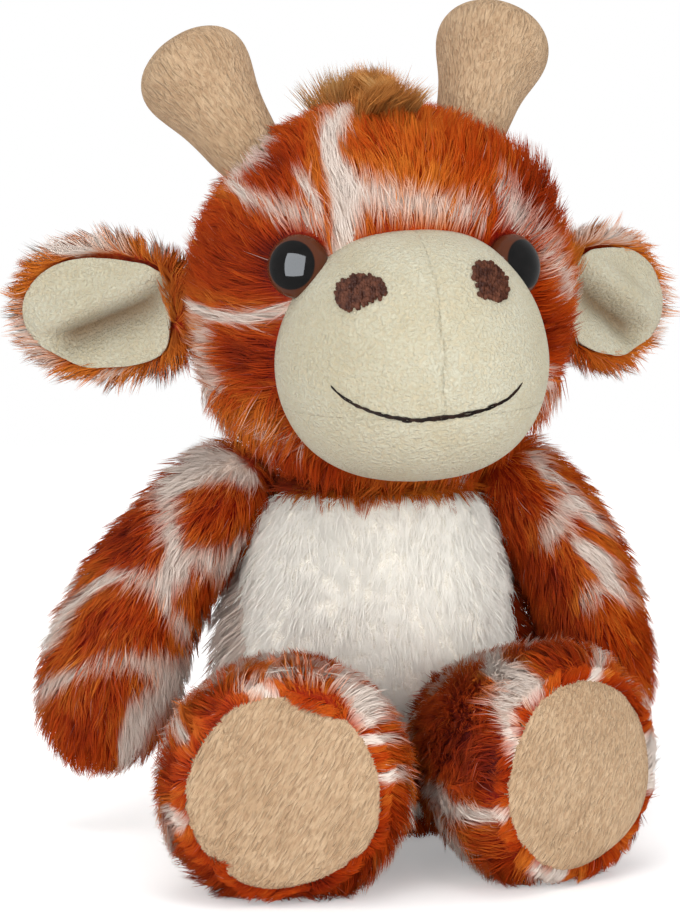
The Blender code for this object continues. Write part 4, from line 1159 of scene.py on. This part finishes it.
# Arms: a limp stuffed tube each, narrow at the shoulder and round at the paw, sewn from
# the same patched fur fabric.
SKIN = 2.0 * MM
arm_root = 14.5 * MM
paw_width, paw_thickness = 39.5 * MM, 30.0 * MM
arm_drop, arm_forward, arm_bow = 81 * MM, 10 * MM, 5 * MM
elbow_out, elbow_drop, wrist_drop = 25 * MM, 18 * MM, 50 * MM
arm_shares = ((0.030, 0.00, 0.58), (0.130, 0.00, 0.97), (0.370, 0.30, 1.00), (0.640, 0.95, 1.00),
              (0.850, 1.00, 0.97), (0.970, 1.00, 0.53))
arm_rings = limb_rings(arm_shares, arm_root * 2, paw_width, arm_root * 2, paw_thickness)


def arm_spine(sign, reach):
    elbow = Vector((sign * elbow_out, -arm_forward / 4, -elbow_drop))
    wrist = Vector((sign * (reach + arm_bow), -arm_forward, -wrist_drop))
    return -elbow.normalized() * arm_root, elbow, wrist, Vector((sign * reach, -arm_forward, -arm_drop))


def along_spine(spine, place, points):
    """The spine's direction at the place nearest to each point."""
    steps = [bezier(spine, i / 24) for i in range(25)]
    centres = np.array([place @ point for point, _ in steps])
    ways = np.array([place.to_3x3() @ way for _, way in steps])
    nearest = np.linalg.norm(points[:, None] - centres[None], axis=2).argmin(1)
    return ways[nearest]


def clothed_limb(name, part, place, spine, rings, segments, flat, replaced, seeds_wanted, free,
                 fringe=None, flow=None, longer=None, **ends):
    """A stuffed limb of patched fur fabric, with its pile combed towards its far end."""
    cloth = stuffed(name + "_cloth", place, spine, rings, segments, flat, **ends)
    for v in cloth.data.vertices:
        v.co.z = max(v.co.z, 0.3 * MM)
    surface = Surface(cloth.data)
    seeds = spread_seeds(surface.points, seeds_wanted)
    printed(cloth.data, part, surface, seeds)
    sewn(cloth.name, cloth.data, backings["patched_fur"], name, "patched_fur", replaced)

    def comb(points, normals):
        way = along_spine(spine, place, points)
        way = way + np.array((0, 0, -0.35))
        if flow is not None:
            way = flow(points, way)
        return way + 0.34 * wander(points, 13 * MM)

    def colour(points, normals):
        return coat(part, points, normals, seeds)

    def keep(points, normals):
        return free(points) & (points[:, 2] > 1.0 * MM)

    for layer in ("_fur", "_underfur"):
        grow(name + layer, name, "patched_fur", surface, comb, colour, keep, curl=fringe, longer=longer)
    return seeds


torso_tree = torso_surface.tree()
for side, sign, reach, flat in (("left", 1, 21 * MM, ALONG), ("right", -1, 37 * MM, ACROSS)):
    shoulder = hinges["arm_lift_" + side]

    def outside_body(points):
        return ~inside(torso_tree, points, -2.5 * MM)

    clothed_limb("arm_" + side, "arm_" + side, Matrix.Translation(shoulder), arm_spine(sign, reach),
                 arm_rings, 8, flat, "arm_skin_" + side, 16, outside_body)


# Legs: each lies forward from the hip and ends in a round sole of tan short-pile cloth,
# sewn in with its edge turned under the fringe of the fur.
leg_root, leg_foot, leg_length = 17.5 * MM, 66.5 * MM, 76 * MM
sole_radius, sole_dome = 27 * MM, 3 * MM
leg_shares = ((0.030, 0.00, 0.54), (0.130, 0.00, 0.95), (0.370, 0.38, 1.00), (0.660, 0.84, 1.00),
              (0.880, 1.00, 1.03), (1.000, 1.00, 1.00))
leg_rings = limb_rings(leg_shares, leg_root * 2, leg_foot)
leg_rings[-1] = (1, sole_radius + SKIN / 2, sole_radius + SKIN / 2)


def leg_spine(sign, out, short, bend):
    end = Vector((sign * out, -leg_length + short, 0))
    back = Vector((-sign * math.sin(bend), math.cos(bend), 0))
    return Vector((0, leg_root, 0)), Vector((0, -leg_length / 4, 0)), end + back * leg_length / 3, end


def velour(name, turn):
    """Tan velour, whose crushed pile lies in short wavy ridges along a piece."""
    look = new_look(name)
    ridge = look.noise(look.stretched((1.0, 1.0, 4.5), turn), 1500.0, 0.5, 0.4, 0.7)
    lay = look.noise(look.stretched((1.0, 1.0, 2.0), turn), 420.0, 2.0, 0.5, 1.0)
    crush = look.noise(look.spot(), 62.0, 2.0, 0.5, 0.8)
    tan = look.mixed(look.range(lay, 0.3, 0.7), shade(188, 158, 126), shade(198, 168, 136))
    tan = look.mixed(look.range(crush, 0.35, 0.7, 0.0, 0.5), tan, shade(172, 140, 108))
    # Painted shade in the troughs of the ridges and a painted highlight on their crests
    tan = look.mixed(look.range(ridge, 0.34, 0.50, 0.24, 0.0), tan, shade(140, 100, 68))
    tan = look.mixed(look.range(ridge, 0.54, 0.68, 0.0, 0.16), tan, shade(226, 200, 168))
    return look.cover(
        tan, look.range(lay, 0.2, 0.8, 0.76, 0.92), ridge * 0.9 + lay * 0.1, 1.5 * MM, 1.0,
        Sheen_Weight=0.05, Sheen_Roughness=0.35, Specular_IOR_Level=0.05,
    )


def lathe(name, place, profile, steps):
    """A turned form: a profile of radius and height spun round its axis."""
    bm = bmesh.new()
    verts = [bm.verts.new((radius, 0, height)) for radius, height in profile]
    edges = [bm.edges.new(pair) for pair in zip(verts, verts[1:])]
    bmesh.ops.spin(bm, geom=verts + edges, cent=(0, 0, 0), axis=(0, 0, 1), angle=2 * math.pi,
                   steps=steps, use_merge=True)
    bmesh.ops.remove_doubles(bm, verts=bm.verts, dist=0.01 * MM)
    bmesh.ops.recalc_face_normals(bm, faces=bm.faces)
    bmesh.ops.transform(bm, matrix=place, verts=bm.verts)
    return kept_mesh(name, bm)


leg_facts = {
    "left": (1, 21.5 * MM, 16.0 * MM, math.radians(34)),
    "right": (-1, 13.0 * MM, 0.0, math.radians(4)),
}
sole_steps = 24
sole_creases = {
    "right": (((222, 726), (231, 742), (242, 757)), ((276, 852), (284, 824), (294, 790))),
    "left": (((560, 842), (590, 812), (604, 780)),),
}
for side, (sign, out, short, bend) in leg_facts.items():
    place = Matrix.Translation(hinges["leg_spread_" + side])
    spine = leg_spine(sign, out, short, bend)
    sole_place = place @ spine_frame(spine, 1, UPRIGHT)
    sole_middle = np.array(sole_place.translation)
    sole_out = np.array(sole_place.to_3x3() @ UPRIGHT)

    def off_sole(points):
        from_sole = points - sole_middle
        ahead = from_sole @ sole_out
        round_it = np.linalg.norm(from_sole - ahead[:, None] * sole_out, axis=1)
        return ~inside(torso_tree, points, 0.5 * MM) & ~((ahead > -1.5 * MM) & (round_it < sole_radius))

    def over_sole(points):
        """The pile by the sole leans in over the sole's edge."""
        from_sole = points - sole_middle
        ahead = from_sole @ sole_out
        inward = unit(ahead[:, None] * sole_out - from_sole)
        return (inward * 1.3 - sole_out * 0.1) * smooth_share(-3.5 * MM, -0.5 * MM, ahead)[:, None]

    def by_sole(points):
        """The pile is cut shorter by the seam of the sole."""
        return 1 - 0.5 * smooth_share(-5 * MM, -1 * MM, (points - sole_middle) @ sole_out)

    def round_foot(points, way):
        """The pile of the foot flows out and back from the sole, swept to one side in places."""
        from_sole = points - sole_middle
        ahead = from_sole @ sole_out
        outward = unit(from_sole - ahead[:, None] * sole_out)
        around = np.cross(outward, sole_out) * wobble(points, 16 * MM)[:, None]
        near = smooth_share(-22 * MM, -6 * MM, ahead)[:, None]
        return way * (1 - near) + (outward * 0.8 - sole_out * 0.15 + around * 1.1) * near

    leg_seeds = clothed_limb(
        "leg_" + side, "leg_" + side, place, spine, leg_rings, 10, UPRIGHT,
        "leg_skin_" + side, 16, off_sole, fringe=over_sole,
        flow=round_foot, longer=by_sole, open_start=True, open_end=True,
    )
    seam_strip = lathe("seam_strip", sole_place,
                       [(sole_radius - 0.8 * MM, 1.3 * MM), (sole_radius + 1.4 * MM, 0)], 48)
    seam = Surface(seam_strip)
    seam.normals *= np.sign(seam.normals @ sole_out)[:, None]
    bpy.data.meshes.remove(seam_strip)

    def seam_comb(points, normals):
        from_sole = points - sole_middle
        outward = unit(from_sole - (from_sole @ sole_out)[:, None] * sole_out)
        around = np.cross(outward, sole_out)
        return (outward * (0.35 + 0.9 * wobble(points, 9 * MM)[:, None])
                + around * wobble(points + 0.03, 12 * MM)[:, None])

    def seam_colour(points, normals, part="leg_" + side, seeds=leg_seeds):
        return coat(part, points, normals, seeds)

    grow("sole_fringe_" + side, "leg_" + side, "patched_fur", seam, seam_comb, seam_colour, lock=2.2)
    dome = []
    sole_edge = sole_radius + 0.5 * MM
    for step in range(sole_steps + 1):
        turn = math.pi / 2 * step / sole_steps
        dome.append((sole_edge * math.sin(turn), -SKIN / 2 + (sole_dome + SKIN) * math.cos(turn) ** 0.6))
    sole_mesh = lathe("sole_" + side, sole_place, [*dome, (sole_radius, -SKIN), (0, -SKIN)], 96)
    into_sole = sole_place.inverted()
    flat_points = np.array([v.co for v in sole_mesh.vertices])
    crease_gaps = line_gaps(photo_places(flat_points), [
        [(x, y, 0) for x, y in crease] for crease in sole_creases[side]
    ]) * pixel
    for v, gap in zip(sole_mesh.vertices, crease_gaps):
        local = into_sole @ v.co
        turn = math.atan2(local.y, local.x)
        uneven = 1 + 0.018 * math.sin(3 * turn + 1) + 0.012 * math.sin(5 * turn)
        local.x *= uneven
        local.y *= uneven
        if local.z > 0:
            local.z += 0.35 * MM * math.sin(local.x / (6 * MM)) * math.sin(local.y / (8 * MM) + 1)
            local.z -= 0.9 * MM * math.exp(-((gap / (1.3 * MM)) ** 2))
        v.co = sole_place @ local
    sole_finish = velour("sole_velour_" + side, (0, math.radians(30), 0))
    sewn("sole_" + side, sole_mesh, sole_finish, "leg_" + side, "tan_pile", "sole_pad_" + side)


# Ossicones: two stuffed clubs of tan velour, closed at the tip with a small gathered pole.
horn_neck, horn_tip, horn_length = 20 * MM, 37 * MM, 44.5 * MM
horn_back = math.radians(36)
horn_shares = ((0.060, 0.00, 0.76), (0.210, 0.00, 1.00), (0.470, 0.20, 1.00), (0.740, 1.00, 1.03),
               (0.920, 1.00, 0.80))
horn_fuller = 3.0 * MM
horn_rings = limb_rings(horn_shares, horn_neck + horn_fuller, horn_tip + 0.5 * MM)
for side, sign, lean_out, aside in (("left", 1, math.radians(25), 1.8 * MM),
                                    ("right", -1, math.radians(31), 1.8 * MM)):
    lean = Matrix.Rotation(sign * lean_out, 4, "Y") @ Matrix.Rotation(-horn_back, 4, "X")
    upright = Matrix.Translation(hinges["ossicone_bend_" + side]) @ head_turn.to_matrix().to_4x4()
    place = upright @ lean
    horn_end = Vector((aside, 0, horn_length))
    horn_spine = (Vector((0, 0, -horn_neck / 2)), Vector((0, 0, horn_length / 4)), horn_end * 0.7, horn_end)
    horn = stuffed("ossicone_cloth_" + side, place, horn_spine, horn_rings, 8, ACROSS, open_start=True)
    horn_finish = velour("ossicone_velour_" + side, tuple(place.to_euler()))
    sewn(horn.name, horn.data, horn_finish, "ossicone_" + side, "tan_pile", "ossicone_skin_" + side)


# Ears: a flat cup of patched fur, folded forward, with a lining of the muzzle's cloth.
ear_length, ear_height, ear_thickness = 55 * MM, 39 * MM, 9.5 * MM
ear_root, ear_root_height = 3.8 * MM, 19 * MM
ear_shares = ((0.050, 0.00, 0.90), (0.170, 0.35, 1.00), (0.450, 1.00, 1.00), (0.760, 1.00, 0.95),
              (0.950, 1.00, 0.54))
ear_rings = limb_rings(ear_shares, ear_root_height, ear_height, ear_root * 2, ear_thickness)
dish_shares = (0.45, 0.66, 0.455)
dish_place_share, dish_sink_share, rim_share = 0.53, 0.56, 0.18
# The lining's one fold: a slanting valley with a steep upper side, below a rounded flap
valley_drop, valley_slope, valley_depth = 0.15, 0.545, 6.2 * MM
valley_above, valley_below = 0.13, 0.42
flap_place, flap_reach = 0.34, 0.26
for side, sign, droop, sweep in (("left", 1, math.radians(9), math.radians(40)),
                                 ("right", -1, 0.0, math.radians(34))):
    turned = Euler((0, sign * droop, sign * sweep), "XYZ").to_matrix().to_4x4()
    place = Matrix.Translation(hinges["ear_fold_" + side]) @ head_turn.to_matrix().to_4x4() @ turned
    outward = Vector((sign, 0, 0))
    ear_spine = straight(outward * -ear_root, outward * ear_length)
    dish_middle = outward * ear_length * dish_place_share
    dish_middle.y = -ear_thickness * dish_sink_share
    dish = Vector((ear_length * dish_shares[0], ear_thickness * dish_shares[1], ear_height * dish_shares[2]))
    to_ear = place.inverted()

    def in_lining(x, z):
        """How far out in the lining's outline a place lies: 0 in the middle, 1 at the edge."""
        out = x * sign / dish.x
        wide = np.where(out < 0, np.sqrt(1 - 0.4 * out**2) / np.sqrt(np.maximum(1 - out**2, 0) + 0.02), 1.0)
        return out**2 + (z / dish.z / wide) ** 2

    def into_dish(local, room=0.0):
        """The point moved back to the hollow's floor where it lies in the hollow."""
        off = local - dish_middle
        share = float(in_lining(off.x, off.z))
        if share < 1 and local.y < 0:
            floor_y = dish_middle.y + dish.y * math.sqrt(1 - share) + room
            local = Vector((local.x, max(local.y, floor_y), local.z))
        return local

    ear = stuffed("ear_cloth_" + side, place, ear_spine, ear_rings, 10, UPRIGHT)
    for v in ear.data.vertices:
        v.co = place @ into_dish(to_ear @ v.co, 2.2 * MM)
    ear_surface = Surface(ear.data)
    ear_seeds = spread_seeds(ear_surface.points, 9)
    printed(ear.data, "ear_" + side, ear_surface, ear_seeds)
    sewn(ear.name, ear.data, backings["patched_fur"], "ear_" + side, "patched_fur", "ear_outer_" + side)

    bm = bmesh.new()
    bmesh.ops.create_uvsphere(bm, u_segments=64, v_segments=48, radius=1)
    bmesh.ops.scale(bm, vec=dish, verts=bm.verts)
    cut_off(bm, Matrix(), ((-ALONG, Vector((0, ear_thickness * rim_share, 0))),))
    bmesh.ops.translate(bm, vec=dish_middle, verts=bm.verts)
    valley_shades = []
    for v in bm.verts:
        out, high = (v.co.x - dish_middle.x) * sign / dish.x, (v.co.z - dish_middle.z) / dish.z
        to_rim = min(1.0, math.hypot(out, high))
        above = high + valley_drop + valley_slope * out
        valley = math.exp(-((above / (valley_above if above > 0 else valley_below)) ** 2))
        valley *= 1 - smooth_share(0.35, 0.80, out)
        # How strongly the valley is painted with shade
        valley_shades.append(valley**1.2 * (1 - to_rim**6))
        flap = 0.8 + 3.4 * math.exp(-(((above - flap_place) / flap_reach) ** 2))
        puffed = (1 - to_rim**4) * (1 - valley) * flap * MM
        v.co.y = dish_middle.y + 1.7 * MM - puffed + valley * (1 - to_rim**6) * valley_depth
        v.co.y -= 0.25 * MM * math.sin(out * 9) * math.sin(high * 7 + 1)
        cloth_floor = dish_middle.y + dish.y * math.sqrt(max(0.0, 1 - to_rim**2)) + 2.2 * MM
        v.co.y = min(v.co.y, cloth_floor - 1.5 * MM)
        if out < 0:
            wide = math.sqrt(1 - 0.4 * out**2) / math.sqrt(max(1 - out**2, 0) + 0.02)
            v.co.z = dish_middle.z + dish.z * high * wide
        if high > 0:
            v.co.z -= dish.z * high * 0.08
    bmesh.ops.transform(bm, matrix=place, verts=bm.verts)
    lining = kept_mesh("ear_inner_" + side, bm)
    # The valley's painted shade, kept as fold on the lining's points
    keep_values(lining, fold=np.array(valley_shades))
    sewn(lining.name, lining, velboa, "ear_" + side, "short_pile", "ear_lining_" + side, 1.0 * MM)

    def off_lining(points, normals):
        local = np.array([to_ear @ Vector(p) for p in points])
        off = local - np.array(dish_middle)
        share = in_lining(off[:, 0], off[:, 2])
        front = normals @ np.array(place.to_3x3() @ ALONG) < 0.3
        return ~((share < 0.86) & front & (local[:, 1] < 4.2 * MM)) & (local[:, 0] * sign > 1.5 * MM)

    ear_out = np.array(place.to_3x3() @ outward)
    ear_middle = np.array(place @ Vector((sign * ear_length * 0.45, 0, 0)))

    def ear_comb(points, normals):
        way = unit(points - ear_middle) + ear_out * 0.7
        return way + 0.3 * wander(points, 12 * MM)

    def ear_colour(points, normals, part="ear_" + side, seeds=ear_seeds):
        patch, tone = coat(part, points, normals, seeds)
        return patch, np.clip(tone + 0.30, 0, 1)

    for layer in ("ear_fur_", "ear_underfur_"):
        grow(layer + side, "ear_" + side, "patched_fur", ear_surface, ear_comb, ear_colour, off_lining)


# Mane: a strip of longer, lighter fur let in from the crown down the back of the head.
mane_width, mane_thickness = 16 * MM, 2 * MM
mane_rings = [(at, wide + mane_thickness, deep + mane_thickness) for at, wide, deep in head_rings]
mane_cloth = stuffed("mane_cloth", head_place, head_spine, mane_rings, 12, ACROSS)
bm = bmesh.new()
bm.from_mesh(mane_cloth.data)
cut_off(bm, head_place, (
    (ACROSS, Vector((mane_width / 2, 0, 0))), (-ACROSS, Vector((-mane_width / 2, 0, 0))),
    (-UPRIGHT, Vector((0, 0, head_middle.z - head_height / 4))),
    (-ALONG, Vector((0, head_middle.y - head_depth / 8, 0))),
))
bm.to_mesh(mane_cloth.data)
bm.free()
mane_surface = Surface(mane_cloth.data)
mane_points = len(mane_surface.points)
keep_values(mane_cloth.data, patch=np.ones(mane_points), tone=np.full(mane_points, 0.5))
sewn("mane_cloth", mane_cloth.data, backings["mane_fur"], "head", "mane_fur", "mane_strip", CLOTH)


def mane_comb(points, normals):
    """The mane stands up and leans a little forward, in loose tufts."""
    way = np.array(head_axes @ Vector((0, -0.25, 0.8)))
    return way[None] + 0.5 * wander(points, 10 * MM)


def mane_colour(points, normals):
    return np.ones(len(points)), 0.5 + 0.3 * wobble(points, 9 * MM)


for layer in ("mane_fur", "mane_underfur"):
    grow(layer, "head", "mane_fur", mane_surface, mane_comb, mane_colour, stray=0.5)


# Nose and mouth: knobbly satin stitch in brown thread for the nostrils, and one line of
# black backstitch for the mouth, both worked through the muzzle cloth.
def thread_look(name, dark, pale):
    look = new_look(name)
    twist = look.node("ShaderNodeTexWave", {"wave_type": "BANDS", "bands_direction": "DIAGONAL"},
                      {"Vector": look.spot(), "Scale": 1100.0, "Distortion": 1.2, "Detail": 2.0})
    worn = look.noise(look.spot(), 420.0, 3.0)
    return look.cover(
        look.mixed(look.range(worn, 0.3, 0.75), dark, pale), look.range(worn, 0.2, 0.8, 0.5, 0.75),
        twist, 0.12 * MM, 0.6, Specular_IOR_Level=0.12,
    )


def stitches(name, runs, look, slot, width, proud):
    """Short lengths of thread laid on the muzzle: each run is two pixels of the front view."""
    bm = bmesh.new()
    for (x, y), (x2, y2), wide in runs:
        start, out = seen_on(muzzle_tree, x, y)
        end, out2 = seen_on(muzzle_tree, x2, y2)
        if start is None or end is None:
            continue
        along = end - start
        normal = (out + out2).normalized()
        side = along.cross(normal).normalized()
        made = Matrix((along.normalized(), side, normal)).transposed().to_4x4()
        made.translation = (start + end) / 2 + normal * proud * wide * 0.35
        half = along.length / 2 + width * wide * 0.3
        size = Matrix.Diagonal((half, width * wide / 2, width * wide * proud / 2 / MM * 1.6, 1))
        bmesh.ops.create_uvsphere(bm, u_segments=10, v_segments=8, radius=1,
                                  matrix=made @ size @ Matrix.Rotation(math.pi / 2, 4, "Y"))
    return add_piece(name, kept_mesh(name, bm), look, "head", slot)


draw = np.random.default_rng(5)
nostril_look = thread_look("nostril_thread", shade(58, 28, 18), shade(108, 64, 46))
nostril_shapes = {
    "right": ((336, 295), (338, 287), (345, 281), (352, 277), (360, 275), (372, 276), (380, 280), (386, 289),
              (386, 297), (382, 294), (380, 300), (376, 296), (373, 303), (370, 299), (366, 308), (362, 303),
              (359, 310), (353, 307), (350, 312), (344, 309), (338, 303)),
    "left": ((471, 268), (478, 262), (490, 263), (500, 270), (506, 281), (508, 292), (504, 299), (497, 301),
             (488, 299), (480, 297), (477, 294), (482, 289), (475, 286), (478, 282), (472, 278)),
}


def within(x, y, outline):
    """Whether a pixel lies inside an outline."""
    crossings = 0
    for (ax, ay), (bx, by) in zip(outline, outline[1:] + outline[:1]):
        if (ay > y) != (by > y) and x < ax + (y - ay) * (bx - ax) / (by - ay):
            crossings += 1
    return crossings % 2 == 1


knot_step = 2.6
for side, outline in nostril_shapes.items():
    runs = []
    left, top = min(x for x, _ in outline), min(y for _, y in outline)
    for i in range(24):
        for j in range(20):
            x = left + i * knot_step + draw.uniform(-0.7, 0.7)
            y = top + (j + 0.5 * (i % 2)) * knot_step + draw.uniform(-0.7, 0.7)
            if within(x, y, outline):
                runs.append(((x - 0.6, y - 1.4), (x + 0.6, y + 1.4), draw.uniform(0.8, 1.25)))
    nostril = stitches("nostril_stitch_" + side, runs, nostril_look, "nostril_thread", 1.15 * MM,
                       0.9 * MM)
    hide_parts("nostril_" + side)

mouth_look = thread_look("mouth_thread", shade(16, 10, 8), shade(50, 32, 24))
mouth_places = (
    (331, 386), (341, 396), (354, 404), (370, 411), (387, 416), (401, 419), (415, 420), (441, 418),
    (460, 415), (479, 411), (491, 407), (503, 402), (512, 395), (518, 388), (522, 383),
)
mouth_steps = 34
lengths = [math.dist(a, b) for a, b in zip(mouth_places, mouth_places[1:])]


def on_mouth(share):
    """The pixel at a share of the way along the mouth."""
    left = share * sum(lengths)
    for (a, b), length in zip(zip(mouth_places, mouth_places[1:]), lengths):
        if left <= length:
            return a[0] + (b[0] - a[0]) * left / length, a[1] + (b[1] - a[1]) * left / length
        left -= length
    return mouth_places[-1]


runs = []
for step in range(mouth_steps):
    for shift in (-0.9, 0.9):
        a, b = on_mouth(step / mouth_steps), on_mouth(min(1, (step + 1.5) / mouth_steps))
        thick = 0.45 + 0.55 * math.sin(math.pi * (step + 0.5) / mouth_steps)
        jitter = draw.uniform(-1.0, 1.0, 2) + shift * thick
        runs.append(((a[0], a[1] + jitter[0]), (b[0], b[1] + jitter[1]), thick))
mouth = stitches("mouth_stitch", runs, mouth_look, "mouth_thread", 0.7 * MM, 0.8 * MM)
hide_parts("mouth_thread")


# Eyes: domed buttons of glossy plastic, black in the middle with a clear brown edge, each
# on a shank through the cloth.
eye_flange, eye_dome = 1.2 * MM, 6.5 * MM
shank_radius, shank_length = 2.5 * MM, 12 * MM
eye_look = new_look("eye_plastic")
haze = eye_look.noise(eye_look.spot(), 300.0, 2.0)
eye_colour = eye_look.mixed(eye_look.range(eye_look.held("rim"), 0.74, 0.79), (0.003, 0.003, 0.003),
                            shade(84, 44, 26))
eye_plastic = eye_look.cover(
    eye_look.mixed(eye_look.range(haze, 0.3, 0.7, 0.0, 0.06), eye_colour, (0.05, 0.04, 0.04)),
    eye_look.range(haze, 0.2, 0.8, 0.04, 0.07), Specular_IOR_Level=0.30,
)
for side, (spot, axis) in eye_facts.items():
    place = axis.to_track_quat("Z", "Y").to_matrix().to_4x4()
    place.translation = spot
    profile = []
    for step in range(25):
        turn = math.pi / 2 * step / 24
        profile.append((eye_radius * math.sin(turn), eye_flange + eye_dome * math.cos(turn)))
    profile += [(eye_radius, 0), (shank_radius, 0), (shank_radius, -shank_length), (0, -shank_length)]
    eye_mesh = lathe("eye_button_" + side, place, profile, 64)
    flat = np.array([place.inverted() @ v.co for v in eye_mesh.vertices])
    keep_values(eye_mesh, rim=np.linalg.norm(flat[:, :2], axis=1) / eye_radius)
    eye = add_piece("eye_button_" + side, eye_mesh, eye_plastic, "head", "eye_plastic")
    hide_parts("eye_" + side)


# Tail: a thin stuffed cord of fur with a longer brown tuft, lying behind the seat.
tail_root, tail_radius, tail_length = 5 * MM, 4.2 * MM, 52 * MM
tuft_radius, tuft_length = 7.5 * MM, 26 * MM
tail_place = Matrix.Translation(hinges["tail_swing"])
tail_low = tail_radius + 0.6 * MM - 17 * MM
tail_spine = (Vector((0, -tail_root, 0)), Vector((0, tail_length / 3, 0)),
              Vector((0, tail_length / 3, tail_low)), Vector((-tail_length / 6, tail_length, tail_low)))
tail_shares = ((0.020, 0.00, 0.60), (0.080, 0.00, 1.00), (0.500, 0.60, 1.00), (0.960, 1.00, 0.80))
tail_rings = limb_rings(tail_shares, tail_root * 2, tail_radius * 2)


def behind_seat(points):
    return points[:, 1] > 40 * MM


clothed_limb("tail", "body", tail_place, tail_spine, tail_rings, 6, ACROSS, "tail_skin", 6, behind_seat)
tuft_start, tuft_along = bezier(tail_spine, 1)
tuft_start = tuft_start - tuft_along * tail_radius
tuft_end = tuft_start + Vector((tuft_along.x, tuft_along.y, 0)) * tuft_length
tuft_end.z = tuft_radius - 17 * MM
tuft_shares = ((0.030, 0.00, 0.80), (0.250, 0.70, 1.00), (0.550, 1.00, 1.03), (0.850, 1.00, 0.66))
tuft = stuffed("tail_end", tail_place, straight(tuft_start, tuft_end),
               limb_rings(tuft_shares, tail_radius * 2, tuft_radius * 2), 8, ACROSS)
tuft_surface = Surface(tuft.data)
tuft_points = len(tuft_surface.points)
keep_values(tuft.data, patch=np.ones(tuft_points), tone=np.full(tuft_points, 0.4))
sewn("tail_end", tuft.data, backings["mane_fur"], "tail", "mane_fur", "tail_tuft")
tuft_way = np.array((tuft_end - tuft_start).normalized())


def tuft_comb(points, normals):
    return tuft_way[None] + 0.2 * normals


grow("tail_end_fur", "tail", "mane_fur", tuft_surface, tuft_comb, mane_colour)
